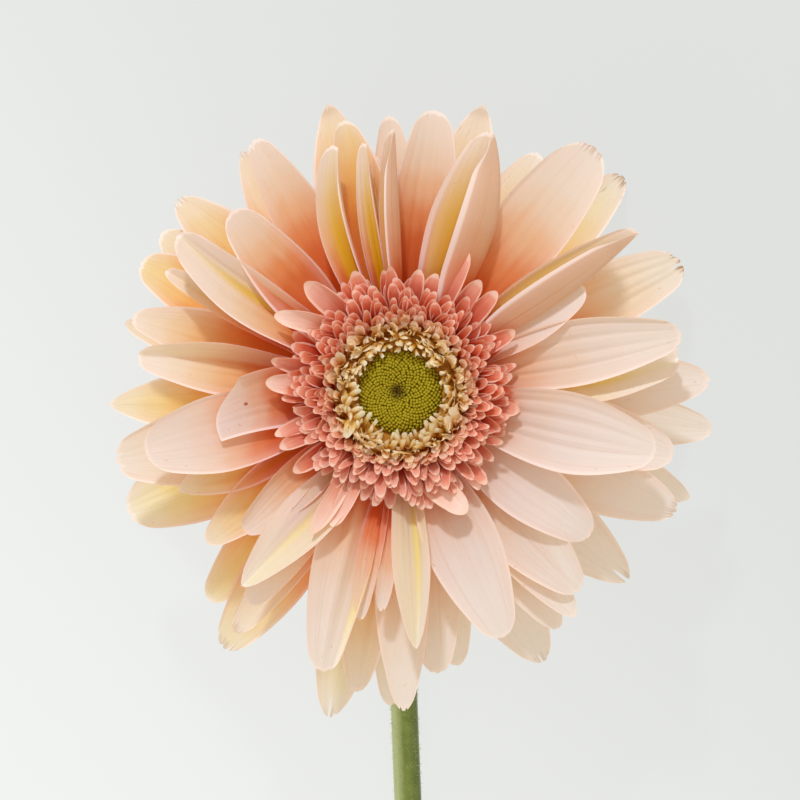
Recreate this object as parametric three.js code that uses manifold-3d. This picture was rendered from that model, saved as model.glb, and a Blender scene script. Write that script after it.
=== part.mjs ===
// Cut gerbera, lying: millimetres, +Z up. The stem lies along -Y, its neck bends up, and the head
// looks up, leaning towards +Y. A petal's azimuth runs clockwise from the head's top, seen from its face.
import * as THREE from "three";
import { mergeVertices } from "three/addons/utils/BufferGeometryUtils.js";
import Module from "manifold-3d";

const wasm = await Module();
wasm.setup();

// ---- Driving dimensions: millimetres and degrees -------------------------------------------------
const HEAD = [-2.1, 147.9, 27.7]; // centre of the head, in the plane that its petals spring from
const LEAN = 12; // the head's axis, off the vertical
const STEM_LENGTH_ALONG_Y = 346; // from the head's centre to the cut end
const NECK_R = 2.6;
const STEM_END_R = 3.3;
const NECK_TOP = -14.3; // where the neck meets the calyx, along the head's axis
const NECK_BEND_R = 13;
const CUT_SLANT = 35;
const PETAL_THICK = 0.8;
const FLORET_THICK = 0.8;
const CREST_R = 23.4; // reach of the crest's lowest row
const DISC_R = 7.5; // radius of the green centre
const DISC_DIMPLE = 10.2; // height of its middle
const BUD_HEIGHT = 1;
// Rings of the centre, from outside in: [radius, height]
const DISC_RINGS = [[7.5, 9.8], [7.2, 10.9], [6.5, 11.4], [5.6, 11.5], [4.6, 11.4], [3.5, 11.1], [2.3, 10.7], [1.1, 10.3]];

// Ray petals: [tip azimuth, root azimuth, reach, width, extra lift, left wall, right wall].
// A wall is the angle to which that side of the petal turns up. Over 90 it folds back over the petal.
const BACK = [
  [16, 17, 59.2, 12.5, -3, -14, 14],
  [30, 30, 54, 12, 0, -12, 12],
  [46, 46, 61.3, 12, -4, -12, 16],
  [65.2, 65, 60.9, 14, -1, -10, 12],
  [81, 81, 55, 12, 0, -12, 12],
  [96.7, 96, 61.7, 12, 0, -12, 12],
  [110, 110, 60.3, 12, -2, -14, 12],
  [129.5, 129, 56.8, 12.7, 0, -10, 10],
  [152, 154, 58.8, 15, 0, -12, 12],
  [168, 168, 54, 11, -1, -12, 12],
  [181.8, 181, 60.7, 10, 0, -14, 14],
  [192.3, 192, 64.4, 12.6, -1, -14, 12],
  [214.5, 213, 60.3, 13, 0, -12, 12],
  [222.5, 225, 55, 12, -4, -12, 12],
  [246.5, 243, 58.2, 15, 0, -14, 14],
  [267.7, 267, 57.2, 12, 0, -14, 12],
  [284, 287, 55.6, 11.5, -1, -12, 12],
  [296.5, 297, 57, 12.6, 1, -12, 14],
  [303.5, 303, 56.6, 9.5, -5, -12, 12],
  [311, 311, 57.8, 13, -1, -14, 12],
  [326.5, 327, 56.6, 13.5, -2, -14, 12],
  [346, 344, 58.8, 13, -3, -12, 14],
];
const MIDDLE = [
  [7, 8, 53.3, 13, 3, -28, 24],
  [38.5, 38, 58.3, 13.7, 4, -14, 18],
  [87.7, 89, 59, 13, -1, -14, 16],
  [103, 101, 53, 14, 3, -16, 14],
  [113.2, 115, 56.9, 13, -1, -14, 14],
  [138, 140, 50.4, 13.5, 4, -16, 14],
  [142, 144, 53.7, 10, 0, -16, 16],
  [146, 149, 54, 9, -4, -16, 14],
  [172.5, 168, 53.9, 12, -1, -16, 14],
  [179.3, 180, 60.2, 10.6, 2, -18, 18],
  [184.6, 183, 41, 5.5, 5, -30, 30],
  [188.3, 190, 57.7, 10.5, -3, -16, 16],
  [189, 188.5, 43.2, 5.5, 3, -30, 30],
  [214.5, 212, 55.4, 9, -2, -16, 14],
  [232, 236, 46.4, 10.5, 2, -20, 24],
  [246, 246, 45.8, 10, 4, -18, 14],
  [256.5, 252, 55.6, 16.5, -2, -14, 14],
  [277.5, 276, 50, 12, 2, -20, 40],
  [285.5, 288, 53, 10, -3, -16, 18],
  [297.5, 294, 49.9, 7.5, 2, -60, 30],
  [330, 331, 55, 11, 0, -26, 20],
  [348.3, 350, 52.5, 10.5, -2, -20, 20],
  [354, 353, 44.9, 5, 3, -30, 30],
  [-2.3, 1, 52.7, 9.5, -4, -20, 20],
];
const FRONT = [
  [18.5, 20, 51.3, 14.5, 0, -16, 145],
  [56, 53, 53.4, 12, 1, -20, 145],
  [59.5, 60, 38.9, 9, 6, -14, 20],
  [79.5, 77, 53.4, 13.5, 1, -14, 12],
  [86.5, 88, 52.8, 8, -4, -20, 40],
  [103, 105, 48.3, 16.2, 4, -14, 10],
  [127, 126, 44.7, 12.2, 0, -14, 14],
  [157, 159, 49.6, 13.9, 1, -14, 14],
  [176.5, 176, 47.9, 9.5, 3, -30, 120],
  [198, 199, 54.5, 11, 0, -22, 26],
  [215.5, 214.5, 48.9, 8.5, -1, -18, 22],
  [221, 222, 46.4, 8, 3, -110, 30],
  [229, 230, 38.5, 6.8, 0, -24, 24],
  [257, 257.5, 48.9, 14.9, 0, -14, 14],
  [254.5, 269, 34.2, 9.5, 7, -16, 20],
  [305, 304, 50.8, 15, -1, -125, 26],
  [317, 312, 46, 11.8, 2, -16, 18],
  [344.5, 338.5, 47.6, 12, 2, -24, 130],
  [351.3, 348, 47, 6, 0, -24, 120],
  [357, 357, 49, 5.2, 2, -24, 120],
];
// Layer: [height of the root over the head's plane, slope at the root, slope at the tip]
const LAYERS = [
  [BACK, -2.3, -9, -25],
  [MIDDLE, 0.3, 3, -13],
  [FRONT, 2.8, 10, -7],
];
const PETAL_ROOT_R = 9.6;
// Width along a petal, as shares of its length and of its full width
const PETAL_SHAPE = [[0, 0.2], [0.2, 0.44], [0.45, 0.82], [0.7, 1], [0.9, 0.72], [1, 0.24]];

// Larger florets at the crest's edge: [tip azimuth, root azimuth, reach, width]
const CREST_EDGE = [
  [355, 356, 24, 4], [9, 8, 23.5, 4], [26, 24, 29.8, 5], [36, 36, 27.5, 4.6], [44, 45, 27.9, 4.4],
  [62, 62, 24.8, 4], [99, 98, 22.5, 4], [137, 136, 23.5, 4], [147, 148, 22.8, 4],
  [160, 164, 26.5, 7.5], [207, 207, 30, 4.6], [209, 213, 34, 4.4], [233, 232, 24.8, 4],
  [245, 246, 25.4, 4], [274, 274, 24.8, 4], [281, 282, 26.5, 4.4], [295, 294, 29.5, 5],
  [302, 317, 27, 5], [322, 324, 27.2, 4.8], [339, 339, 24.5, 4.4], [17, 16, 23.6, 4.2],
];
// Crest rows: [count, turn, root radius, root height, reach, slope at root, slope at tip, width]
const CREST_ROWS = [
  [30, 4, 13.8, 7.5, CREST_R, 12, 0, 3.6],
  [28, 10, 13.8, 9.3, 21.0, 26, 2, 3.4],
  [25, 5, 13.4, 10.5, 18.4, 46, 8, 3.2],
  [22, 0, 12.5, 11.3, 15.4, 66, 28, 2.8],
];
const FLORET_SHAPE = [[0, 0.45], [0.6, 1], [1, 0.45]];
// Disc rows: [count, turn, root radius, root height, reach, slope at root, slope at tip, width]
const DISC_ROWS = [
  [18, 0, 9.8, 11.4, 11.9, 62, 30, 1.9],
  [16, 11, 9.1, 11.6, 10.0, 84, 68, 1.6],
  [14, 3, 8.5, 11.4, 7.2, 108, 130, 1.5],
];
// Bract rows: [count, turn, root radius, root height, reach, slope at root, slope at tip, width]
const BRACT_ROWS = [
  [8, 0, 5.2, -12, 10.6, 34, 26, 3.0],
  [12, 8, 7.8, -9.4, 15.6, 22, 2, 3.0],
  [13, 0, 10.6, -6.2, 18.6, 2, -14, 3.4],
];

// ---- The head's frame ---------------------------------------------------------------------------
const rad = (d) => (d * Math.PI) / 180;
const across = new THREE.Vector3(1, 0, 0);
const topward = new THREE.Vector3(0, Math.cos(rad(LEAN)), -Math.sin(rad(LEAN)));
const axis = new THREE.Vector3(0, Math.sin(rad(LEAN)), Math.cos(rad(LEAN)));
const headFrame = new THREE.Matrix4()
  .makeBasis(across, topward, axis)
  .setPosition(new THREE.Vector3(...HEAD));

// A seeded draw between -1 and 1
let seed = 20260;
const draw = () => {
  seed = (seed * 16807) % 2147483647;
  return (2 * seed) / 2147483647 - 1;
};

function solid(positions, faces) {
  const g = new THREE.BufferGeometry();
  g.setAttribute("position", new THREE.Float32BufferAttribute(positions.flatMap((p) => p.toArray()), 3));
  g.setIndex(faces.flat());
  return g;
}

function manifold(geometry) {
  const bare = new THREE.BufferGeometry();
  const loose = geometry.index ? geometry.toNonIndexed() : geometry;
  bare.setAttribute("position", loose.getAttribute("position"));
  const merged = mergeVertices(bare, 1e-4);
  return new wasm.Manifold(
    new wasm.Mesh({
      numProp: 3,
      vertProperties: merged.attributes.position.array,
      triVerts: new Uint32Array(merged.index.array),
    }),
  );
}

// The outline of a cut across a petal: it turns from the left wall's angle to the right wall's.
function crossSection(left, right, stops) {
  const fold = Math.abs(left) > 90 || Math.abs(right) > 90;
  const middle = fold ? (Math.abs(right) > 90 ? 0.12 : -0.12) : 0;
  const half = fold ? 0.42 : 1;
  const angle = (s) => {
    const q = Math.min(1, Math.max(0, (s - middle + half) / (2 * half)));
    return rad(left + (right - left) * q);
  };
  const points = [];
  let x = 0, y = 0, s = -1;
  for (const stop of stops) {
    for (let k = 0, h = (stop - s) / 12; stop > s && k < 12; k++) {
      x += Math.cos(angle(s + (k + 0.5) * h)) * h;
      y += Math.sin(angle(s + (k + 0.5) * h)) * h;
    }
    s = stop;
    points.push([x, y]);
  }
  const xs = points.map((p) => p[0]);
  const low = Math.min(...points.map((p) => p[1]));
  const mid = (Math.min(...xs) + Math.max(...xs)) / 2;
  return points.map((p) => [p[0] - mid, p[1] - low]);
}

// A blade: a bent sheet with a thickness. It starts at radius rootR and height rootH, its slope runs
// from rise to fall, and its tip reaches the radius reach. Its two faces are split alike.
function blade({ tip, root, rootR, rootH, reach, width, rise, fall, left = -14, right = 14,
  shape, thick, stops = [-1, 0, 1], rest = false }) {
  const slope = (t) => rad(rise + (fall - rise) * t ** 1.2);
  let run = 0;
  for (let k = 0; k < 60; k++) run += Math.cos(slope((k + 0.5) / 60)) / 60;
  const length = (reach - rootR) / run;
  const place = (t) => {
    let r = rootR, h = rootH;
    for (let k = 0; k < 24; k++) {
      const a = slope((t * (k + 0.5)) / 24);
      r += (Math.cos(a) * length * t) / 24;
      h += (Math.sin(a) * length * t) / 24;
    }
    const az = rad(root + (tip - root) * t ** 0.8);
    return new THREE.Vector3(r * Math.sin(az), r * Math.cos(az), h);
  };
  const rows = shape.map(([t, share]) => {
    const centre = place(t);
    const along = place(Math.min(1, t + 0.01)).sub(place(Math.max(0, t - 0.01))).normalize();
    const az = rad(root + (tip - root) * t ** 0.8);
    const side = new THREE.Vector3(Math.cos(az), -Math.sin(az), 0);
    side.addScaledVector(along, -side.dot(along)).normalize();
    const up = side.clone().cross(along);
    const open = t < 0.3 ? 0.55 : t > 0.95 ? 0.8 : 1;
    return crossSection(left * open, right * open, stops).map(([x, y]) =>
      centre.clone()
        .addScaledVector(side, (x * width * share) / 2)
        .addScaledVector(up, (y * width * share) / 2)
        .applyMatrix4(headFrame));
  });
  const m = rows.length, n = stops.length;
  const normal = (i, j) => {
    const a = rows[Math.min(m - 1, i + 1)][j].clone().sub(rows[Math.max(0, i - 1)][j]);
    const b = rows[i][Math.min(n - 1, j + 1)].clone().sub(rows[i][Math.max(0, j - 1)]);
    return b.cross(a).normalize();
  };
  const upper = [], lower = [];
  for (let i = 0; i < m; i++)
    for (let j = 0; j < n; j++) {
      const p = rows[i][j], d = normal(i, j).multiplyScalar(thick / 2);
      const top = p.clone().add(d), under = p.clone().sub(d);
      if (rest) {
        under.z = Math.max(0, under.z); // a tip that reaches the surface rests on it
        top.z = Math.max(thick, top.z);
      }
      upper.push(top);
      lower.push(under);
    }
  const k = (i, j) => i * n + j, o = m * n, faces = [];
  for (let i = 0; i < m - 1; i++)
    for (let j = 0; j < n - 1; j++) {
      const [a, b, c, d] = [k(i, j), k(i, j + 1), k(i + 1, j + 1), k(i + 1, j)];
      faces.push([a, b, c], [a, c, d], [o + a, o + c, o + b], [o + a, o + d, o + c]);
    }
  const wall = (a, b) => faces.push([b, a, o + a], [b, o + a, o + b]);
  for (let i = 0; i < m - 1; i++) {
    wall(k(i + 1, 0), k(i, 0));
    wall(k(i, n - 1), k(i + 1, n - 1));
  }
  for (let j = 0; j < n - 1; j++) {
    wall(k(0, j), k(0, j + 1));
    wall(k(m - 1, j + 1), k(m - 1, j));
  }
  return manifold(solid([...upper, ...lower], faces));
}

// A solid of revolution round the head's axis, from [radius, height] pairs
function turned(profile, sides) {
  const g = new THREE.LatheGeometry(profile.map((p) => new THREE.Vector2(...p)), sides);
  g.rotateX(Math.PI / 2).applyMatrix4(headFrame);
  return manifold(g);
}

// One body: the pieces joined, without the tiny hollows and scraps that joining leaves
const joined = (pieces) => pieces
  .reduce((all, piece) => all.add(piece))
  .decompose()
  .reduce((most, body) => (body.volume() > most.volume() ? body : most))
  .simplify(0.02);

function mesh(name, body, colour, roughness = 0.6) {
  const m = body.getMesh(), n = m.numProp;
  const position = new Float32Array(m.numVert * 3);
  for (let i = 0; i < m.numVert; i++) position.set(m.vertProperties.subarray(i * n, i * n + 3), i * 3);
  const g = new THREE.BufferGeometry();
  g.setAttribute("position", new THREE.BufferAttribute(position, 3));
  g.setIndex(new THREE.BufferAttribute(m.triVerts, 1));
  g.computeVertexNormals();
  const made = new THREE.Mesh(g, new THREE.MeshStandardMaterial({ color: colour, roughness }));
  made.name = name;
  return made;
}

// Rows of like blades round the head
function rows(table, shape, thick, wobble, taken = () => false) {
  const made = [];
  for (const [count, turn, rootR, rootH, reach, rise, fall, width] of table)
    for (let i = 0; i < count; i++) {
      const az = turn + (360 * i) / count;
      if (reach === CREST_R && taken(az)) continue;
      made.push(blade({
        tip: az + wobble * draw(), root: az, rootR, rootH, reach: reach + 0.25 * wobble * draw(),
        width, rise: rise + wobble * draw(), fall: fall + 2 * wobble * draw(), shape, thick, stops: [-1, 1],
      }));
    }
  return made;
}

// ---- Ray petals ---------------------------------------------------------------------------------
function rayPetals() {
  const made = [turned([[8, -3.6], [13.2, -3.6], [13.2, 3.9], [8, 3.9], [8, -3.6]], 30)];
  for (const [petals, rootH, rise, fall] of LAYERS)
    for (const [tip, root, reach, width, lift, left, right] of petals) {
      const folded = Math.abs(left) > 90 || Math.abs(right) > 90;
      made.push(blade({
        tip, root, rootR: PETAL_ROOT_R, rootH: rootH + lift * 0.1, reach, width,
        rise: rise + lift * 0.7, fall: fall + lift,
        left, right, shape: PETAL_SHAPE, thick: PETAL_THICK, rest: true,
        stops: folded ? [-1, -0.3, 0.1, 0.45, 1] : [-1, 0, 1],
      }));
    }
  return joined(made);
}

// ---- Crest, disc and calyx ----------------------------------------------------------------------
function crest() {
  const made = [turned([[9.1, 5.7], [12.6, 5.7], [15, 8], [14.6, 10.4], [12.8, 11.9], [10.8, 11.6],
    [10.8, 9.4], [9.1, 9.4], [9.1, 5.7]], 28)];
  const taken = (az) => CREST_EDGE.some(([, root]) => Math.abs(((root - az + 540) % 360) - 180) < 6);
  made.push(...rows(CREST_ROWS, FLORET_SHAPE, FLORET_THICK, 1, taken));
  for (const [tip, root, reach, width] of CREST_EDGE)
    made.push(blade({
      tip, root, rootR: 13.6, rootH: 8.1, reach, width, rise: 17, fall: 0, shape: FLORET_SHAPE,
      thick: FLORET_THICK, stops: [-1, 1],
    }));
  return joined(made);
}

function discFlorets() {
  const made = [turned([[7.9, 9.8], [10.3, 9.8], [10.3, 11.8], [9.4, 12.4], [7.9, 12], [7.9, 9.8]], 28)];
  made.push(...rows(DISC_ROWS, [[0, 0.7], [1, 1]], 0.9, 0.8));
  return joined(made);
}

// The green centre: a dimpled dome, raised by a formula into buds that stand in turned rings
function discCentre() {
  const sides = 24, positions = [], faces = [];
  const ring = (r, h, bumps) => {
    for (let j = 0; j < sides; j++) {
      const a = (2 * Math.PI * j) / sides;
      positions.push(new THREE.Vector3(r * Math.sin(a), r * Math.cos(a), h + bumps(j)).applyMatrix4(headFrame));
    }
  };
  positions.push(new THREE.Vector3(0, 0, 4.8).applyMatrix4(headFrame));
  ring(DISC_R - 0.1, 4.8, () => 0);
  DISC_RINGS.forEach(([r, h], k) => ring(r, h, (j) => ((j + k) % 2 ? 0 : (BUD_HEIGHT * r) / DISC_R)));
  positions.push(new THREE.Vector3(0, 0, DISC_DIMPLE).applyMatrix4(headFrame));
  const last = 1 + sides * DISC_RINGS.length;
  for (let j = 0; j < sides; j++) {
    const next = (j + 1) % sides;
    faces.push([0, 1 + j, 1 + next], [last + j, last + sides, last + next]);
    for (let k = 0; k < DISC_RINGS.length; k++) {
      const [a, b] = [1 + k * sides + j, 1 + k * sides + next];
      faces.push([a, a + sides, b + sides], [a, b + sides, b]);
    }
  }
  const body = manifold(solid(positions, faces));
  if (body.volume() > 0) return body;
  return manifold(solid(positions, faces.map(([a, b, c]) => [a, c, b])));
}

function calyx() {
  const cup = [[0, -14], [4.4, -14], [6.4, -12.4], [9, -9], [11.6, -5.6], [12.6, -3.9],
    [7.7, -3.9], [7.7, 4.5], [0, 4.5]];
  const made = [turned(cup, 20)];
  made.push(...rows(BRACT_ROWS, [[0, 0.9], [0.5, 0.95], [1, 0.2]], 1, 0.8));
  return joined(made);
}

// ---- Stem: down the head's axis, round the neck's bend and along the surface to its cut end -------
function stem() {
  const sides = 10, facet = Math.cos(Math.PI / sides);
  const headAt = new THREE.Vector3(...HEAD);
  const bend = rad(90 - LEAN);
  const path = [];
  const start = headAt.clone().addScaledVector(axis, NECK_TOP);
  path.push(start.clone(), start.clone().addScaledVector(axis, -1));
  const turnAt = path[1], back = topward.clone().negate(); // the side that the neck bends to
  for (let k = 1; k <= 6; k++) {
    const a = (bend * k) / 6;
    path.push(turnAt.clone()
      .addScaledVector(axis, -NECK_BEND_R * Math.sin(a))
      .addScaledVector(back, NECK_BEND_R * (1 - Math.cos(a))));
  }
  const flatFrom = path.at(-1).y;
  const endY = HEAD[1] - STEM_LENGTH_ALONG_Y;
  const sway = new THREE.CatmullRomCurve3([[0, flatFrom], [0.5, HEAD[1] - 55], [1.2, HEAD[1] - 80],
    [4, HEAD[1] - 150], [6.5, HEAD[1] - 225], [5.5, HEAD[1] - 290], [2, endY]]
    .map(([x, y]) => new THREE.Vector3(HEAD[0] + x, y, 0)));
  for (let k = 1; k <= 14; k++) path.push(sway.getPoint(k / 14));
  const positions = [], faces = [];
  path.forEach((p, i) => {
    const share = Math.max(0, (HEAD[1] - p.y) / STEM_LENGTH_ALONG_Y);
    const r = NECK_R + (STEM_END_R - NECK_R) * share;
    if (i > 7) p.z = r * facet;
    const ahead = path[Math.min(path.length - 1, i + 1)], behind = path[Math.max(0, i - 1)];
    const along = ahead.clone().sub(behind).normalize();
    if (i > 7) along.setZ(0).normalize();
    if (i < 2) along.copy(axis).negate();
    const side = new THREE.Vector3(1, 0, 0).addScaledVector(along, -along.x).normalize();
    const up = side.clone().cross(along).negate();
    for (let j = 0; j < sides; j++) {
      const a = (2 * Math.PI * (j + 0.5)) / sides - Math.PI / 2;
      const q = p.clone().addScaledVector(side, r * Math.cos(a)).addScaledVector(up, r * Math.sin(a));
      if (i === path.length - 1) q.addScaledVector(along, -r * Math.sin(a) * Math.tan(rad(CUT_SLANT)));
      q.z = Math.max(0, q.z);
      positions.push(q);
    }
  });
  const n = path.length;
  for (let i = 0; i < n - 1; i++)
    for (let j = 0; j < sides; j++) {
      const [a, b] = [i * sides + j, i * sides + ((j + 1) % sides)];
      faces.push([a, b, b + sides], [a, b + sides, a + sides]);
    }
  for (let j = 1; j < sides - 1; j++) {
    faces.push([0, j + 1, j]);
    faces.push([(n - 1) * sides, (n - 1) * sides + j, (n - 1) * sides + j + 1]);
  }
  const body = manifold(solid(positions, faces));
  if (body.volume() > 0) return body;
  return manifold(solid(positions, faces.map(([a, b, c]) => [a, c, b])));
}

const flower = new THREE.Group();
flower.name = "cut_gerbera";
flower.add(
  mesh("stem", stem(), 0x8fa653, 0.7),
  mesh("calyx", calyx(), 0x6f8a45, 0.75),
  mesh("ray_petals", rayPetals(), 0xf2c49e, 0.55),
  mesh("crest_florets", crest(), 0xd9776a, 0.6),
  mesh("disc_florets", discFlorets(), 0xf0dcae, 0.6),
  mesh("disc_centre", discCentre(), 0x8f8f3a, 0.7),
);
export default flower;
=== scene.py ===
# %% [markdown]
# # A cut gerbera
# The flower lies on a pale surface and looks up at the camera. Like the real one it is made of petals,
# florets, buds, bracts and a hairy stem. Each could be modelled by hand, but there are some sixteen hundred,
# without the hairs. So each kind is one formula here, and tables say how its members differ.
#
# The CAD frame holds the plain solids. Each piece below takes the place of one of its nodes.

# %% The frame
import math
import bpy
import numpy as np
from mathutils import Matrix, Vector


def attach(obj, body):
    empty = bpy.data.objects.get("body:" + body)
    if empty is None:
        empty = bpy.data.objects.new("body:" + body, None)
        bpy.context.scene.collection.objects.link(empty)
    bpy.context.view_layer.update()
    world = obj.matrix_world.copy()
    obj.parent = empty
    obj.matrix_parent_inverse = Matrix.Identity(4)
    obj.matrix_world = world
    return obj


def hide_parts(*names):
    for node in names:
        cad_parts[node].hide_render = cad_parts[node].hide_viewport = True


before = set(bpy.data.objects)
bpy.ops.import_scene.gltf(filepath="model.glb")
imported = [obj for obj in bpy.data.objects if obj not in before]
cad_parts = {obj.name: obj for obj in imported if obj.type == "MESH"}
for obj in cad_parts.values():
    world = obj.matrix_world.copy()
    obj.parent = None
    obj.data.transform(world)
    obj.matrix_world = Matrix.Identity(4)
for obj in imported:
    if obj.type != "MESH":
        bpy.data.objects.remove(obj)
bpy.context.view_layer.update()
MM = 0.001
rng = np.random.default_rng(20260)

# %% [markdown]
# ## The head's own axes
# A gerbera grows round the axis of its head, which leans here. Its pieces could be modelled upright and then
# turned, but a finished object stays unturned, with its place in its mesh. So every point is worked out in
# the head's own axes and moved to the frame as numbers. A point is (across, topward, along the axis) in
# millimetres from the middle of the plane that the petals spring from. An azimuth runs clockwise from the
# head's top, seen from its face.

# %% The head's axes
HEAD = np.array([-2.1, 147.9, 27.7]) * MM
LEAN = math.radians(12)
ACROSS = np.array([1.0, 0.0, 0.0])
TOPWARD = np.array([0.0, math.cos(LEAN), -math.sin(LEAN)])
AXIS = np.array([0.0, math.sin(LEAN), math.cos(LEAN)])


def in_row(points):
    """Head coordinates in millimetres to the frame in metres: HEAD + x ACROSS + y TOPWARD + z AXIS."""
    return HEAD + (points * MM) @ np.array([ACROSS, TOPWARD, AXIS])


print("the head's axis:", AXIS.round(3))

# %% [markdown]
# ## The camera
# The photograph looks straight at the flower's face, so the camera hangs over it on the head's axis. It
# could be aimed by a constraint. A matrix is shorter here, because its columns are the head's own axes.
# The lens is chosen so that the 800 pixels take in 152 mm of the petals' plane.

# %% The camera
DISTANCE, FIELD, SENSOR = 500, 152, 36  # millimetres
LOOK_LOWER = 1.5  # the picture's middle lies this far below the head's, in millimetres
camera_data = bpy.data.cameras.new("camera")
camera_data.lens = SENSOR * DISTANCE / FIELD
camera = bpy.data.objects.new("camera", camera_data)
bpy.context.collection.objects.link(camera)
eye = HEAD + AXIS * DISTANCE * MM - TOPWARD * LOOK_LOWER * MM
camera.matrix_world = Matrix.Translation(Vector(eye)) @ Matrix([ACROSS, TOPWARD, AXIS]).transposed().to_4x4()
bpy.context.scene.camera = camera
bpy.context.scene.view_settings.view_transform = "Standard"
print("camera at, mm:", (eye * 1000).round(1), "lens, mm:", round(camera_data.lens, 1))

# %% [markdown]
# ## Shader maths
# A petal's colour follows rules: deep at the root, pale at the rim, streaked between. The rules could be
# wired in the node editor, but as formulas they are easier to read and to change. `Value` stands for one
# number that changes over a surface, and plus, minus and times on it make the Math nodes.


# %% Shader maths
class Value:
    """One output socket of a shader's nodes."""

    def __init__(self, shader, socket):
        self.shader, self.socket = shader, socket

    def math(self, kind, *others):
        """A Math node of this kind on this value and the others, which may be plain numbers."""
        made = self.shader.node("ShaderNodeMath", {"operation": kind}, dict(enumerate((self, *others))))
        return Value(self.shader, made.outputs[0])

    def __add__(self, other):
        return self.math("ADD", other)

    def __sub__(self, other):
        return self.math("SUBTRACT", other)

    def __mul__(self, other):
        return self.math("MULTIPLY", other)

    __radd__, __rmul__ = __add__, __mul__

    def __rsub__(self, other):
        return self * -1 + other

    def __abs__(self):
        return self.math("ABSOLUTE")

    def smooth(self, low, high):
        """0 below low, 1 above high and 3x² - 2x³ between, where x is the share of the way."""
        made = self.shader.node("ShaderNodeMapRange", {"interpolation_type": "SMOOTHSTEP"},
                                {"Value": self, "From Min": low, "From Max": high})
        return Value(self.shader, made.outputs[0])


def linear(colour):
    """A colour as a screen shows it, 0 to 255, to the light that a socket takes: ((c + 0.055) / 1.055)^2.4."""
    share = np.array(colour[:3]) / 255
    light = np.where(share <= 0.04045, share / 12.92, ((share + 0.055) / 1.055) ** 2.4)
    return (*light.tolist(), 1.0)


print("a screen's middle grey is", round(linear((128, 128, 128))[0], 3), "of white's light")

# %% [markdown]
# ## One material
# Every finish on the flower is skin: matt, a little soft, and thin enough to let light through. One class
# could be written for each, but they differ only in their colour rule. So `Shader` makes any node by one
# method, reads the marks that the meshes carry, and ends in a Principled surface with some light let through.


# %% One material
class Shader:
    """One material and its nodes."""

    def __init__(self, name):
        self.material = bpy.data.materials.new(name)
        self.material.use_nodes = True
        self.tree = self.material.node_tree
        self.tree.nodes.clear()

    def node(self, kind, settings, values):
        """A node of this type: its settings first, then the values or links of its sockets."""
        made = self.tree.nodes.new(kind)
        for key, value in settings.items():
            setattr(made, key, value)
        for key, value in values.items():
            if isinstance(value, Value):
                self.tree.links.new(value.socket, made.inputs[key])
            elif value is not None:
                made.inputs[key].default_value = value
        return made

    def mark(self, name):
        """A number that each point of the mesh carries."""
        made = self.node("ShaderNodeAttribute", {"attribute_name": name}, {})
        return Value(self, made.outputs["Fac"])

    def here(self):
        """The place on the object, in metres."""
        return Value(self, self.node("ShaderNodeTexCoord", {}, {}).outputs["Object"])

    def noise_here(self, scale, detail=2.0, place=None):
        """Soft noise, about 0.5 on average, by the place on the object or another one."""
        values = {"Vector": place or self.here(), "Scale": scale, "Detail": detail}
        return Value(self, self.node("ShaderNodeTexNoise", {}, values).outputs["Fac"])

    def noise(self, x, y, z, scale=1.0, detail=2.0):
        """Soft noise at the place (x, y, z)."""
        place = self.node("ShaderNodeCombineXYZ", {}, {0: x, 1: y, 2: z})
        return self.noise_here(scale, detail, Value(self, place.outputs[0]))

    def ramp(self, value, stops):
        """A colour that changes with value: stops are (place, (red, green, blue) as a screen shows them)."""
        made = self.node("ShaderNodeValToRGB", {}, {0: value})
        made.color_ramp.interpolation = "EASE"
        while len(made.color_ramp.elements) < len(stops):
            made.color_ramp.elements.new(0.5)
        for element, (place, colour) in zip(made.color_ramp.elements, stops):
            element.position, element.color = place, linear(colour)
        return Value(self, made.outputs[0])

    def mix(self, share, first, second):
        """first (1 - share) + second share. A colour is a Value or (red, green, blue) as a screen shows it."""
        made = self.node("ShaderNodeMix", {"data_type": "RGBA"}, {0: share})
        for key, colour in ((6, first), (7, second)):
            if isinstance(colour, Value):
                self.tree.links.new(colour.socket, made.inputs[key])
            else:
                made.inputs[key].default_value = linear(colour)
        return Value(self, made.outputs[2])

    def coats(self, colour, *coats):
        """A colour with coats over it, each given as (share, colour)."""
        for share, coat in coats:
            colour = self.mix(share, colour, coat)
        return colour

    def bump(self, height, distance, strength=1.0):
        """A normal tilted by the slope of height times distance."""
        made = self.node("ShaderNodeBump", {}, {"Height": height, "Distance": distance, "Strength": strength})
        return Value(self, made.outputs[0])

    def both(self, share, first, second):
        """Two shaders as one, the second in this share."""
        made = self.node("ShaderNodeMixShader", {}, {0: share})
        self.tree.links.new(first.outputs[0], made.inputs[1])
        self.tree.links.new(second.outputs[0], made.inputs[2])
        return made

    def finish(self, colour, roughness, normal=None, glow=(), thin=0.0, specular=0.35, sheen=0.0):
        """A Principled surface. A thin sheet lets the share `thin` of the light through, in the tint `glow`.

        Where glow is (first tint, second tint, share), the two tints are mixed by the share.
        """
        last = surface = self.node("ShaderNodeBsdfPrincipled", {}, {
            "Base Color": colour, "Roughness": roughness, "Normal": normal,
            "Specular IOR Level": specular, "Sheen Weight": sheen, "Sheen Roughness": 0.4})
        if glow:
            through = [self.node("ShaderNodeBsdfTranslucent", {}, {"Color": linear(tint), "Normal": normal})
                       for tint in glow[:2]]
            last = self.both(thin, surface, self.both(glow[2], *through) if len(glow) == 3 else through[0])
        end = self.node("ShaderNodeOutputMaterial", {}, {})
        self.tree.links.new(last.outputs[0], end.inputs[0])
        print(f"{self.material.name}: {len(self.tree.nodes)} nodes")
        return self.material


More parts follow.
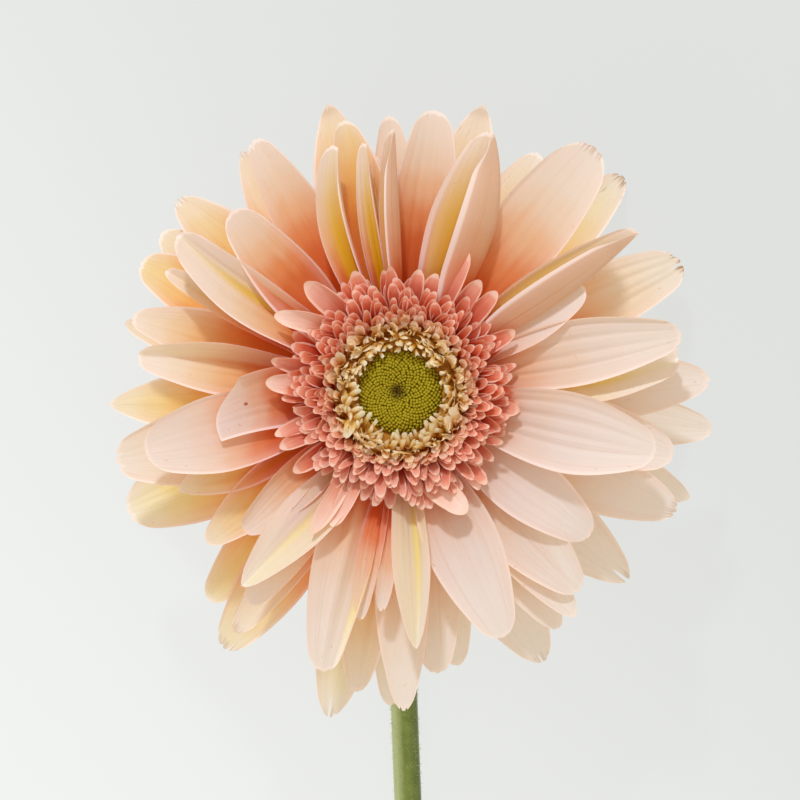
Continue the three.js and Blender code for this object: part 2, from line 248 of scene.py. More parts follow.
# %% [markdown]
# ## A sheet's grid and centre line
# Petals, florets and bracts are all thin sheets that grow out of the head. One could be sculpted and copied,
# but in the photo each has its own length, bend and fold. So a sheet is a grid of points: t runs from root to
# tip, and s from -1 at the left margin to 1 at the right one. Its centre line leaves the head at a slope that
# changes from root to tip, and its end is rounded and may be toothed.


# %% A sheet's grid and centre line
def smoothstep(x):
    """3x² - 2x³, with x held between 0 and 1."""
    x = np.clip(x, 0, 1)
    return x * x * (3 - 2 * x)


def petal_grid(n, m, round_end, teeth):
    """(t, s, end), n by m each: place along, place across and the place along before the tip is shaped.

    t = end (1 - cap end^5). The cap grows from 0 in the middle to round_end at the margins, and by
    depth exp(-((s - place) / spread)²) at each tooth. s is the sine of even steps, so margins get more points.
    """
    end = np.linspace(0, 1, n)[:, None] + np.zeros((1, m))
    s = (np.sin(np.linspace(-1.3, 1.3, m)) / math.sin(1.3))[None, :] + np.zeros((n, 1))
    cap = round_end * (1 - (1 - np.abs(s) ** 2.6 * 0.995) ** 0.5)
    for place, depth, spread in teeth:
        cap = cap + depth * np.exp(-(((s - place) / spread) ** 2))
    return end * (1 - cap * end ** 5), s, end


def centre_line(t, root_r, root_h, reach, length, rise, fall, bend, curl):
    """(radius, height, slope, size) at each t.

    The slope is rise + (fall - rise) t^bend, and by curl more in the last quarter. Radius and height are the
    running sums of its cosine and sine, times a size that gives the wanted length, or the wanted reach.
    """
    steps = 160
    fine = np.linspace(0, 1, steps + 1)
    slope = np.radians(rise + (fall - rise) * fine ** bend + curl * np.clip((fine - 0.75) / 0.25, 0, 1) ** 2)
    run, lift = [np.concatenate([[0], np.cumsum((part[1:] + part[:-1]) / 2)]) / steps
                 for part in (np.cos(slope), np.sin(slope))]
    size = length if length else (reach - root_r) / run[-1]
    radius, height = root_r + size * np.interp(t, fine, run), root_h + size * np.interp(t, fine, lift)
    return radius, height, np.interp(t, fine, slope), size


def unit(vectors):
    """Vectors divided by their lengths."""
    return vectors / np.linalg.norm(vectors, axis=-1, keepdims=True)


def directions(azimuth, slope, drift):
    """(out, side, up), each 1 long: off the head's axis, across the sheet and off its face.

    ahead = out cos(slope) + axis sin(slope) + round drift, where drift is the step sideways for a step along.
    side is round without its share along ahead, and up is side x ahead.
    """
    out = np.stack([np.sin(azimuth), np.cos(azimuth), 0 * azimuth], -1)
    round_ = np.stack([np.cos(azimuth), -np.sin(azimuth), 0 * azimuth], -1)
    ahead = unit(out * np.cos(slope)[..., None] + STANDING * np.sin(slope)[..., None]
                 + round_ * drift[..., None])
    side = unit(round_ - ahead * (round_ * ahead).sum(-1, keepdims=True))
    return out, side, np.cross(side, ahead)


STANDING = np.array([0, 0, 1.0])  # along the head's axis, in head coordinates
height = centre_line(np.array([1.0]), 10, 0, 50, None, 20, -10, 1.2, 0)[1]
print("a petal that rises by 20 degrees and falls by 10 ends at height, mm:", round(float(height[0]), 1))

# %% [markdown]
# ## A sheet's cut
# Cut across, a petal is a shallow trough, a sharp keel, or a sheet with one side folded back over it. A
# bent line could be drawn for each kind. One rule makes all three: the line's angle turns from the left
# side's to the right side's, over a bend that is wide or tight. Furrows, a rib and wavy margins are added.


# %% A sheet's cut
FOLDED, FOLD_HALF, KEEL_HALF = 90, 0.3, 0.14  # degrees past which a side is folded, half widths of the bends


def outline_petal(t, claw, widest, blunt):
    """Share of the full width: claw + (1 - claw) sin up to the widest place, then 1 - (1 - blunt) x^1.8."""
    swell = claw + (1 - claw) * np.sin(np.pi / 2 * np.clip(t / widest, 0, 1) ** 1.15)
    fade = 1 - (1 - blunt) * np.clip((t - widest) / (1 - widest), 0, 1) ** 1.8
    return np.where(t < widest, swell, fade)


def cut_line(t, s, left, right, middle, half, lips, level):
    """(x, y, turn) of the cut: x and y are the running sums of cos(turn) and sin(turn) over s.

    The turn goes from left to right, in degrees, round a bend at `middle`, and the lips turn the margins up
    by more. It starts at the share `level` at the root and eases off again near the tip.
    """
    between = (s[:, 1:] + s[:, :-1]) / 2
    share = (between - middle + half) / (2 * half)
    turn = left + (right - left) * (np.clip(share, 0, 1) if half == 1 else smoothstep(share))
    turn = turn - lips[0] * smoothstep((-between - 0.8) / 0.2) + lips[1] * smoothstep((between - 0.8) / 0.2)
    open_ = level + (1 - level) * smoothstep(t[:, 1:] / 0.4)
    open_ = open_ * (1 - 0.15 * smoothstep((t[:, 1:] - 0.8) / 0.2))
    turn = np.radians(turn * open_)
    zero = np.zeros((len(t), 1))
    x = np.concatenate([zero, np.cumsum(np.cos(turn) * np.diff(s), 1)], 1)
    y = np.concatenate([zero, np.cumsum(np.sin(turn) * np.diff(s), 1)], 1)
    return x - (x.min(1, keepdims=True) + x.max(1, keepdims=True)) / 2, y - y.min(1, keepdims=True), turn


def relief(t, s, grooves, ridge, spine, wave, waves, phase):
    """Height on a sheet's face: a rib and four furrows, times sin(pi t^0.8), plus a wave at the margins.

    A furrow is exp(-((s - place) / 0.07)²), the rib exp(-((s - 0.05) / 0.2)²), the wave s² sin(2 pi waves t).
    """
    furrows = sum(np.exp(-(((s - place * ridge) / 0.07) ** 2)) for place in (-1.8, -0.8, 0.2, 1))
    rib = np.exp(-(((s - 0.05) / 0.2) ** 2))
    ripple = np.abs(s) ** 2 * smoothstep(t / 0.4) * np.sin(2 * np.pi * waves * t + phase + 1.3 * np.sign(s))
    return (spine * rib - grooves * furrows) * np.sin(np.pi * np.clip(t, 0, 1) ** 0.8) + wave * ripple


print("width along a petal:", outline_petal(np.linspace(0, 1, 6), 0.3, 0.6, 0.3).round(2))

# %% [markdown]
# ## A whole sheet
# The centre line says where a petal goes, and the cut says how it is bent across. Modifiers could bend a flat
# strip along a curve, but then each petal would be an object of its own. Here the two are simply added up.


# %% A whole sheet
def sheet(tip, root, root_r, root_h, reach, width, rise, fall, left=-14, right=14, n=40, m=17, claw=0.2,
          widest=0.66, blunt=0.58, round_end=0.14, teeth=(), wave=0.0, waves=1.5, phase=0.0, twist=0.0,
          grooves=0.0, curl=0.0, bend=1.2, length=None, seam=0.12, lips=(0.0, 0.0), sway=0.0, ridge=0.34,
          level=0.55, vee=None, spine=0.0):
    """One petal as (points, along, across, turned over, gold, end), n by m grids, in head coordinates.

    A point is the centre line's point + side x + up y, with the cut's (x, y) rolled by twist t. The azimuth
    goes from root to tip as t^0.8, with a bow of sway sin(pi t). A side that turns past 90 degrees is folded
    over at the seam, and `vee` is the place across of a sharp keel.
    """
    t, s, end = petal_grid(n, m, round_end, teeth)
    radius, height, slope, size = centre_line(t, root_r, root_h, reach, length, rise, fall, bend, curl)
    azimuth = np.radians(root + (tip - root) * t ** 0.8 + sway * np.sin(np.pi * t))
    drift = radius * math.radians(tip - root) * 0.8 * np.clip(t, 0.05, 1) ** -0.2 / size
    out, side, up = directions(azimuth, slope, drift)
    folded = max(abs(left), abs(right)) > FOLDED
    middle = (seam if right > FOLDED else -seam) if folded else vee or 0.0
    half = FOLD_HALF if folded else 1.0 if vee is None else KEEL_HALF
    x, y, turn = cut_line(t, s, left, right, middle, half, lips, level)
    over = smoothstep((np.abs(np.degrees(np.concatenate([turn[:, :1], turn], 1))) - 60) / 50)
    gold = np.exp(-(((s - middle) / (0.5 if vee is None else 0.16)) ** 2))
    if folded:  # the channel beside the fold is golden: partly its own yellow, partly painted glow and shade
        free, far = (x[:, -1:], x[:, :1]) if right > FOLDED else (x[:, :1], x[:, -1:])
        inside = (x - far) / np.where(np.abs(free - far) < 0.2, 0.2 * np.sign(free - far), free - far)
        gold = smoothstep((inside - 0.5 * seam) / 0.4) * (1 - over)
    seen = np.ptp(x[int(0.6 * n)]) if folded else 2.0
    half_width = outline_petal(t, claw, widest, blunt) * width / seen
    x, y = x * half_width, y * half_width + relief(t, s, grooves, ridge, spine, wave, waves, phase)
    roll = np.radians(twist) * t
    x, y = x * np.cos(roll) - y * np.sin(roll), x * np.sin(roll) + y * np.cos(roll)
    base = out * radius[..., None] + STANDING * height[..., None]
    return base + side * x[..., None] + up * y[..., None], t, s, over, gold, end


print("a sheet of", sheet(0, 0, 10, 0, 50, 12, 20, -10)[0].shape[:2], "points")

# %% [markdown]
# ## Meshes
# The florets of one kind are one piece of the object. They could be hundreds of joined objects, which is
# slow. So the grids are gathered in a pile, and one call puts them into a mesh. Each point carries marks,
# such as its place along the petal, that its material reads. What would sink into the surface is laid on it.


# %% Meshes
def squares(index):
    """The four corners of each square of a grid of point numbers, or of a stack of grids."""
    corners = [index[..., :-1, :-1], index[..., :-1, 1:], index[..., 1:, 1:], index[..., 1:, :-1]]
    return np.stack(corners, -1).reshape(-1, 4)


class Pile:
    """Grids of points gathered into one mesh. A mark is a number that each point carries for its material."""

    def __init__(self):
        self.points, self.quads, self.marks, self.count = [], [], {}, 0

    def grid(self, points, wrap=False, caps=(), **marks):
        """One grid. A wrapped one closes on itself, and `caps` are the end rings, 0 or -1, that are filled."""
        n, m = points.shape[:2]
        index = np.arange(n * m).reshape(n, m) + self.count
        k = np.arange(m // 2 - 1)
        for end in caps:
            filled = np.stack([k, k + 1, m - 2 - k, m - 1 - k], -1)
            self.quads.append(index[end][filled[:, ::-1] if end == 0 else filled])
        if wrap:
            index = np.concatenate([index, index[:, :1]], 1)
        self.points.append(points.reshape(-1, 3))
        self.quads.append(squares(index))
        for key, value in marks.items():
            self.marks.setdefault(key, []).append(np.broadcast_to(value, (n, m)).ravel())
        self.count += n * m

    def petal(self, made, **marks):
        """A sheet, marked with its along and across and a random number for its own shade."""
        points, along, across, *_ = made
        self.grid(in_row(points), along=along, across=across, pick=rng.random(), **marks)

    def made(self, name, material, node, slot):
        """The pile as one object of this name, in the place of the CAD's node."""
        points = np.concatenate(self.points).astype(np.float32)
        quads = np.concatenate(self.quads).astype(np.int32)
        mesh = bpy.data.meshes.new(name)
        mesh.vertices.add(len(points))
        mesh.vertices.foreach_set("co", points.ravel())
        mesh.loops.add(quads.size)
        mesh.loops.foreach_set("vertex_index", quads.ravel())
        mesh.polygons.add(len(quads))
        mesh.polygons.foreach_set("loop_start", np.arange(len(quads), dtype=np.int32) * 4)
        mesh.update(calc_edges=True)
        mesh.polygons.foreach_set("use_smooth", np.ones(len(quads), bool))
        for key, values in self.marks.items():
            layer = mesh.attributes.new(key, "FLOAT", "POINT")
            layer.data.foreach_set("value", np.concatenate(values).astype(np.float32))
        mesh.validate()
        piece = bpy.data.objects.new(name, mesh)
        bpy.context.collection.objects.link(piece)
        mesh.materials.append(material)
        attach(piece, "root")
        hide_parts(node)
        print(f"{name}: {len(quads)} faces")


def resting(points, gap=0.35 * MM, ease=0.8 * MM):
    """Points in the frame, with what would sink under the surface lifted softly onto it.

    With over = z - gap, z becomes gap + (over + sqrt(over² + ease²)) / 2, less ease / 2 where over is under
    3 ease, and is at least gap / 2.
    """
    over = points[..., 2] - gap
    points[..., 2] = gap + (over + np.sqrt(over**2 + ease**2)) / 2 - ease / 2 * (over < 3 * ease)
    points[..., 2] = np.maximum(points[..., 2], gap / 2)
    return points


print("a point 2 mm under the surface rests at, mm:", resting(np.array([0, 0, -2 * MM]))[2] / MM)

# %% [markdown]
# ## The ray petals' places
# The long outer petals stand in three loose layers. A rule could space them evenly, but in the photo each
# has its own direction, length and fold, so each is placed from it. A line is one petal: tip azimuth, root
# azimuth, reach, width, extra lift, left side, right side, how yellow it is and the cleft of its tip. A side
# over 90 degrees folds back over the petal: its width is then the seen one, and the next number places the
# fold between the margins. The last two are a sideways bow in degrees and how much further out the deep
# colour of the base reaches.

# %% The ray petals' places
# How much further out the deep base colour reaches, the last number of a line, is partly painted shade on
# petals that lie in shade.
BACK = [
    (16, 17, 59.2, 12.5, -3, -14, 14, 0.4, 0), (30, 30, 54, 12, 0, -12, 12, 0.5, 0),
    (46, 46, 61.3, 12, -4, -12, 16, 0.7, 1), (65.2, 65, 60.9, 14, -1, -10, 12, 0.3, 2, 0, 0, 0.12),
    (81, 81, 55, 12, 0, -12, 12, 0.4, 0), (96.7, 96, 61.7, 12, 0, -12, 12, 0.1, 1),
    (110, 110, 60.3, 12, 2, -14, 12, 0.4, 0), (129.5, 129, 56.8, 12.7, 10, -10, 10, 0.2, 3, 0, 0, -0.1),
    (152, 154, 58.8, 15, 10, -12, 12, 0.1, 2, 0, 0, -0.12), (168, 168, 54, 11, 7, -12, 12, 0.4, 0),
    (181.8, 181, 60.7, 10, 7, -14, 14, 0.5, 0), (192.3, 192, 64.4, 12.6, 7, -14, 12, 0.8, 2),
    (214.5, 213, 60.3, 13, 6, -12, 12, 0.8, 1, 0, 0, 0.14),
    (222.5, 225, 55, 12, 2, -12, 12, 0.9, 0, 0, 0, 0.2),
    (246.5, 243, 58.2, 15, 0, -14, 14, 1.0, 1, 0, 0, 0.0), (267.7, 267, 57.2, 12, 0, -14, 12, 0.8, 1),
    (284, 287, 55.6, 11.5, -1, -12, 12, 0.6, 0), (296.5, 297, 57, 12.6, -3, -12, 14, 0.9, 1, 0, 0, 0.16),
    (303.5, 303, 56.6, 9.5, -5, -12, 12, 0.7, 0), (311, 311, 57.8, 13, -1, -14, 12, 0.7, 1),
    (326.5, 327, 56.6, 13.5, -2, -14, 12, 0.5, 1), (346, 344, 58.8, 13, -3, -12, 14, 0.6, 1),
]
MIDDLE = [
    (7, 8, 53.3, 13, 7, -28, 24, 0.1, 0, 0, 0, 0.07),
    (38.5, 38.4, 58.3, 14.6, 11, -14, 18, 0.15, 0, 0, 0, 0.05), (87.7, 89, 59, 13, -2, -10, 14, 0.0, 1),
    (103, 101, 53, 14, 3, -16, 14, 0.0, 0), (113.2, 115, 56.9, 13, 2, -14, 14, 0.0, 1),
    (138, 140, 50.4, 13.5, 7, -16, 14, 0.1, 1), (142, 144, 53.7, 10, 4, -16, 16, 0.1, 0),
    (146, 149, 54, 9, 0, -16, 14, 0.2, 0), (172.5, 168, 53.9, 12, -1, -16, 14, 0.2, 0),
    (179.3, 180, 60.2, 10.6, 2, -18, 18, 0.2, 1), (188.3, 190, 57.7, 10.5, -3, -16, 16, 0.5, 0, 0, 0, 0.12),
    (214.5, 212, 55.4, 9, -2, -16, 14, 0.5, 0, 0, 0, 0.14),
    (232, 236, 46.4, 10.5, 2, -20, 24, 0.7, 0, 0, 0, 0.18),
    (246, 246, 45.8, 10, 4, -18, 14, 0.8, 0, 0, 0, 0.14), (256.5, 252, 55.6, 16.5, -2, -14, 14, 0.3, 1),
    (277.5, 276, 50, 12, 2, -20, 52, 0.6, 0, 0, 0, -0.12), (285.5, 288, 53, 10, -3, -16, 18, 0.5, 0),
    (297.5, 294, 49.9, 7.5, 2, -60, 30, 0.5, 0), (330, 331, 55, 11, 4, -26, 20, 0.2, 1),
    (348.3, 350, 52.5, 10.5, 1, -20, 20, 0.8, 0, 0, 0, 0.18), (354, 353, 44.9, 5, 3, -30, 30, 0.8, 0),
    (-2.3, 1, 52.7, 9.5, -4, -20, 20, 0.2, 0),
]
FRONT = [
    (18.5, 23, 51.3, 12.0, 0, -16, 145, 0.1, 0, 0.12), (55.5, 52, 53.4, 7.4, 2, -20, 145, 0.0, 0, 0.04),
    (60.5, 61.5, 39.5, 9.6, 5, -14, 20, 0.0, 0), (78.5, 75.5, 53.4, 12.6, 2, -14, 12, 0.1, 1),
    (82.5, 85, 52.8, 13.6, -6, -10, 48, 0.9, 0, 0.1, 1), (103, 105, 48.6, 15.2, 7, -14, 10, 0.0, 0),
    (127, 126, 44.7, 12.2, -2, -8, 12, 0.0, 0), (157, 159, 49.6, 13.9, 1, -14, 14, 0.0, 0),
    (176.5, 176, 47.9, 9.6, 3, -52, 36, 0.8, 0, 0, 0, -0.2), (195.6, 204, 54.0, 12.2, 0, -62, 12, 0.2, 0),
    (185, 184, 41, 4.6, 4, -28, 24, 0.1, 1, 0.1, -1, 0.34),
    (190, 188.5, 43.2, 5, 3, -24, 28, 0.1, 1, 0.1, 1, 0.34),
    (215.5, 214.5, 48.9, 8.5, -1, -18, 22, 0.2, 0, 0, 0, 0.18),
    (219.3, 206, 46.6, 11.6, 3, -46, 8, 0.8, 0, 0, 3, -0.4),
    (228, 229, 39.2, 9.6, 0, -24, 24, 0.3, 1, 0, 0, 0.14),
    (257, 257.5, 48.9, 14.9, 0, -14, 14, 0.0, 0, 0, 0, 0.06),
    (262, 269, 35.2, 12.0, 7, -12, 34, 0.0, 4, 0, 3, 0.18),
    (305, 304, 50.8, 12, -1, -40, 34, 0.5, 0, 0, -3, -0.26),
    (317, 312, 46, 11.8, 2, -16, 18, 0.2, 0, 0, 0, 0.2),
    (344.3, 339, 47.6, 5.3, 2, -24, 110, 0.6, 0, 0.5, -5),
    (351.4, 351, 47, 3.6, 0, -24, 110, 0.5, 0, 0.5, -2), (358, 359, 49, 3.8, 2, -24, 140, 0.0, 0, 0.0, -2),
]
print("ray petals:", [len(table) for table in (BACK, MIDDLE, FRONT)])

# %% [markdown]
# ## What single petals have
# Some petals have a keel, a rib, furrows, a spot, or a broad or brown tip. Each could be one more number in
# every line above, mostly 0. So a table names only the petals that have it, by their tip azimuth. What a
# whole layer shares, and the kinds of cleft, are here too.

# %% What single petals have
# Layer: petals, height of the root over the head's plane, slope at the root, slope at the tip
LAYERS = {"back": (BACK, -2.3, -7, -24), "middle": (MIDDLE, 0.3, 10, -10), "front": (FRONT, 2.8, 19, -4)}
PETAL_ROOT_R = 9.6
CUPPED = {"back": (1.0, 1.6), "middle": (1.0, 1.6), "front": (1.3, 2.1)}  # range of a factor on both sides
SUNK = {"back": 0.16, "middle": 0.09, "front": 0.0}  # how much further out the deep base colour reaches: more on the lower layers, as painted shade
# Petals with a sharp keel: its place across, how golden it is, and how pale the side beyond it, or before it
# where that is negative
VEES = {277.5: (0.1, 0.0, 0.7), 176.5: (-0.2, 0.8, 1.0), 219.3: (0.0, 0.65, -1.2), 195.6: (-0.7, 1.1, 0.0),
        305: (0.2, 1.0, 0.0), 297.5: (0.1, 0.6, 0.0), 82.5: (0.1, 1.0, 0.0)}
# How broad the tip is, as a share of the width
BLUNT = {38.5: 0.56, 103: 0.34, 78.5: 0.34, 257: 0.44, 262: 0.8, 330: 0.3, 7: 0.42, 46: 0.3, 65.2: 0.45,
         18.5: 0.2, 55.5: 0.2, 195.6: 0.4, 246.5: 0.45, 267.7: 0.08, 246: 0.12, 284: 0.15, 110: 0.14,
         303.5: 0.5, 346: 0.1, 326.5: 0.1, 16: 0.1, 176.5: 0.12, 219.3: 0.14}
# How deep the furrows are, and how high the middle rib, in millimetres
FURROWED = {103: 0.3, 65.2: 0.5, 78.5: 0.3, 284: 0.3, 305: 0.4, 157: 0.2, 246.5: 0.3, 129.5: 0.35}
SPINES = {195.6: 1.5, 65.2: 0.5, 188.3: 0.5, 181.8: 0.4, 267.7: 0.4}
# How brown the tip is
DRY = {46: 0.8, 38.5: 0.5, 65.2: 1.0, 311: 0.4, 326.5: 0.4, 129.5: 0.4, 113.2: 0.5, 152: 0.3, 214.5: 0.4,
       192.3: 0.4, 284: 0.3}
SPOTS = {262: (0.76, -0.05)}  # a brown dot: place along, place across
SPOT_LONG, SPOT_WIDE = 0.014, 0.06  # shares of the length and of half the width
NO_SPOT = (9, 9)
# How a tip is cleft: (place across, depth as a share of the length, spread)
CLEFTS = {
    0: [(0.3, 0.008, 0.1), (-0.3, 0.008, 0.1)],
    1: [(0.33, 0.018, 0.09), (-0.33, 0.022, 0.09)],
    2: [(0.1, 0.08, 0.07), (-0.5, 0.015, 0.1)],
    3: [(0.05, 0.1, 0.13)],
    4: [(1.0, 0.2, 0.75)],
}
print("keels, ribs, broad tips:", len(VEES), len(SPINES), len(BLUNT))

# %% [markdown]
# ## The ray petals' skin
# A petal is deep orange at its root and cream at its rim, with fine veins, golden channels and some brown.
# Some of it is painted light and shade: the deep root colour reaches further out as partly painted shade on
# the head's top, its left side and the lower layers, the golden channels are partly painted glow and shade,
# the folded-over underside is partly painted shade, and the pale edge is partly a painted highlight.
# A picture could be painted for each, but the marks know where root, rim and fold are, so one rule fits all
# shapes. Light shines through it. Subsurface scattering could show that, but a petal hardly has an inside:
# a share of Translucent suits a thin sheet.


# %% The ray petals' skin
def ray_material():
    """The colour by place = along + 0.2 cloud + 0.1 streaks + 0.25 - how far out the deep base reaches."""
    sh = Shader("ray_petal")
    along, across, tone, pick = sh.mark("along"), sh.mark("across"), sh.mark("tone"), sh.mark("pick")
    over, deep, blush, gold, dry = [sh.mark(name) for name in ("over", "deep", "blush", "gold", "dry")]
    cloud = sh.noise(across * 1.2, along * 2.5, pick * 40, 1.3, 2)
    streaks = sh.noise(across * 5, along * 0.8, pick * 40, 1.6, 3)
    veins = sh.noise(across * 16, along * 0.6, pick * 60, 1.0, 2)
    specks = sh.noise(across * 7, along * 26, pick * 90, 1.0, 1)
    # The deep base reaches further out on the head's top and left side, on the lower layers and on some single
    # petals: partly the petals' own colour, partly painted shade.
    reach_out = (blush * 0.46 + deep * 0.2) * (1.25 - along) + sh.mark("sunk")
    place = along + (cloud - 0.5) * 0.2 + (streaks - 0.5) * 0.1 + 0.25 - reach_out
    peach = sh.ramp(place, [(0.14, (214, 100, 50)), (0.29, (228, 142, 96)), (0.48, (238, 198, 168)),
                            (0.66, (238, 223, 212)), (0.82, (238, 232, 229)), (1.0, (240, 236, 235))])
    honey = sh.ramp(place, [(0.14, (216, 108, 44)), (0.29, (234, 156, 78)), (0.48, (240, 194, 116)),
                            (0.66, (238, 210, 150)), (0.82, (239, 229, 196)), (1.0, (240, 237, 226))])
    # the channels' gold: partly the petal's own yellow, partly painted glow of light caught in the channel, and
    # darker near the head's top as painted shade
    amber = sh.mix(deep * (1.3 - along * 0.8), (240, 222, 108), (212, 154, 8))
    # a pale edge along the margins and the tip: partly the petal's own pale rim, partly a painted highlight
    margin_highlight = (abs(across).smooth(0.86, 0.95) + sh.mark("end").smooth(0.972, 0.992) * 0.8).smooth(0, 1)
    withered = (along + (streaks - 0.5) * 0.12).smooth(0.96, 1.0) * dry
    colour = sh.coats(
        sh.mix(tone, peach, honey),
        (deep * along.smooth(0.2, 0.55) * 0.36, (204, 146, 92)),  # painted shade, strongest near the head's top
        (sh.mark("pale") * 0.7, (238, 236, 204)),  # the pale side of a keel
        (gold * (0.98 - along.smooth(0.55, 0.98) * 0.8), amber),  # channels and folds: partly their own yellow, partly painted glow and shade
        (over * along.smooth(0.25, 0.6) * 0.6, (214, 160, 122)),  # the underside, folded over: partly its own colour, partly painted shade
        (veins.smooth(0.56, 0.74) * (over * 0.35 + 0.16), (216, 140, 100)),
        (cloud.smooth(0.6, 0.8) * 0.25, (250, 216, 206)),
        (abs(across).smooth(0.5, 0.95) * 0.3, (250, 220, 212)),  # the pink rim
        # painted highlight along the edge
        (margin_highlight * 0.8, (255, 242, 237)),
        (specks.smooth(0.76, 0.8) * 0.5, (206, 146, 84)),
        (sh.mark("spot").smooth(0.2, 0.6), (150, 92, 52)),
        (withered, (150, 104, 62)))
    normal = sh.bump(veins * 0.3 + streaks, 0.18 * MM, 0.45)
    tints = (255, 132, 52), (255, 222, 180), place.smooth(0.2, 0.7)
    thin = 0.38 - deep * 0.12 - gold * 0.18
    return sh.finish(colour, 0.55, normal, tints, thin, specular=0.12, sheen=0.02)


petal_material = ray_material()

# %% [markdown]
# ## The ray petals
# Each line of the tables becomes a sheet with seeded waves, furrows and twist of its own. Copies of one
# petal could be turned and stretched, but the eye finds copies at once. The deep colour and the flush are
# partly painted shade: the deep colour is strongest near the head's top, and the flush at its left.

# %% The ray petals
DEEP_AND_SHADE_TOP, BLUSH_AND_SHADE_SIDE = -15, 290  # azimuths where the deep colour and the flush, both partly painted shade, are strongest
WIDER = 1.05  # a cupped petal looks narrower than it is
LIFT_HEIGHT, LIFT_SLOPE = 0.1, 0.7  # what a step of extra lift adds at the root, mm and degrees
nibble = np.random.default_rng(7)
for layer, (petals, root_h, rise, fall) in LAYERS.items():
    pile = Pile()
    for tip, root, reach, width, lift, left, right, tone, cleft, *more in petals:
        seam, sway, sunk = more + [0.12, 0.0, 0.0][len(more):]
        folded = max(abs(left), abs(right)) > FOLDED
        vee, golden, pale = VEES.get(tip, (None, 1.0, 0.0))
        blunt = BLUNT.get(tip, rng.uniform(0.2, 0.34) + (0.14 if layer == "front" else 0))
        round_end = 0.02 if cleft == 4 else 0.07 + 0.3 * max(0, blunt - 0.3)
        bent = folded or vee is not None
        cup = 1.0 if bent or max(-left, right) > 30 else rng.uniform(*CUPPED[layer])
        points, along, across, over, gold, end = sheet(
            tip, root, PETAL_ROOT_R, root_h + lift * LIFT_HEIGHT, reach, width * WIDER,
            rise + lift * LIFT_SLOPE, fall + lift, left * cup, right * cup, n=64, m=49,
            wave=rng.uniform(0.15, 0.45),
            teeth=[(place + nibble.uniform(-0.1, 0.1), depth * nibble.uniform(0.3, 1.2), spread)
                   for place, depth, spread in CLEFTS[cleft]],
            waves=rng.uniform(0.8, 1.8), phase=rng.uniform(0, 6.28), spine=SPINES.get(tip, 0.0),
            grooves=FURROWED.get(tip, rng.uniform(0.04, 0.15)), twist=rng.uniform(-5, 5),
            curl=rng.uniform(-8, 8), widest=rng.uniform(0.52, 0.64), blunt=blunt, round_end=round_end,
            claw=0.3, level=0.8 if folded else 0.3, vee=vee, seam=seam, sway=sway,
            ridge=rng.uniform(0.24, 0.44), lips=(rng.uniform(10, 60), rng.uniform(10, 60)))
        # a deeper colour near the head's top: partly the petals' own colour, partly painted shade
        deep = (0.5 + 0.5 * math.cos(math.radians(tip - DEEP_AND_SHADE_TOP))) ** 2
        # a flush on the head's left side: partly the petals' own colour, partly painted shade
        blush = 0.5 + 0.5 * math.cos(math.radians(tip - BLUSH_AND_SHADE_SIDE))
        gold = gold * (1.0 if bent else 1.2 * max(0, tone - 0.35)) * golden
        pale = abs(pale) * smoothstep((across - (vee or 0)) * np.sign(pale) / 0.2)
        place_along, place_across = SPOTS.get(tip, NO_SPOT)
        spot = np.exp(-(((along - place_along) / SPOT_LONG) ** 2) - ((across - place_across) / SPOT_WIDE) ** 2)
        pile.grid(resting(in_row(points)), along=along, across=across, over=over, tone=tone, deep=deep,
                  gold=gold, sunk=SUNK[layer] + sunk, blush=blush, pale=pale, dry=DRY.get(tip, 0.0),
                  pick=rng.random(), end=end, spot=spot)
    pile.made("rays_" + layer, petal_material, "ray_petals", "petal_peach")

# %% [markdown]
# ## The crest's places
# The trans florets' short petals stand round the disc in rows like scales. The inner rows stand up and the
# outer ones lie out. They could be placed one by one, but the photo shows no more than their tips, so a line
# gives a whole row. Only the larger ones at the edge, which reach over the ray petals, are placed from it.

# %% The crest's places
# Large ones at the edge: tip azimuth, root azimuth, reach, width, how pale
CREST_EDGE = [
    (355, 356, 23.4, 3.8, 0.1), (9, 8, 23, 3.6, 0.1), (26, 24, 28.8, 5.2, 0.35), (36, 36, 25.5, 4.2, 0.2),
    (44, 45, 25.9, 4.2, 0.1), (62, 62, 24.2, 3.8, 0.1), (99, 98, 22.5, 3.8, 0.3), (137, 136, 23.5, 3.6, 0.2),
    (141, 134, 23.4, 3.4, 0.9), (155, 138, 22.3, 3.6, 0.8), (151, 170, 25.6, 6.0, 1.0),
    (207, 207, 28, 4.2, 0.8), (212, 213, 31, 4.2, 0.85), (233, 232, 24.8, 3.8, 0.1),
    (245, 246, 24.6, 3.8, 0.2), (251, 252, 24.6, 3.6, 0.3), (274, 274, 25, 4.6, 0.8),
    (284, 285, 24.6, 4.0, 0.3), (301, 321, 27.2, 4.6, 0.9), (319, 328, 26.8, 5.6, 0.5),
    (339, 339, 24, 4.0, 0.1), (17, 16, 23.0, 4.0, 0.1),
]
# Rows, from outside in: count, root radius, root height, length, slope at root, slope at tip, width
CREST_ROWS = [
    (44, 13.4, 7.9, 9.3, 22, -4, 2.6), (48, 13.4, 8.5, 8.5, 28, 0, 2.6), (50, 13.3, 9.1, 7.7, 36, 6, 2.5),
    (50, 13.1, 9.6, 7.0, 42, 12, 2.4), (50, 12.9, 10.1, 6.2, 48, 20, 2.3), (48, 12.7, 10.6, 5.3, 54, 28, 2.2),
    (44, 12.5, 11.0, 4.4, 60, 38, 2.0), (42, 12.4, 11.3, 3.7, 66, 48, 1.9),
]
print("crest petals:", len(CREST_EDGE) + sum(row[0] for row in CREST_ROWS))
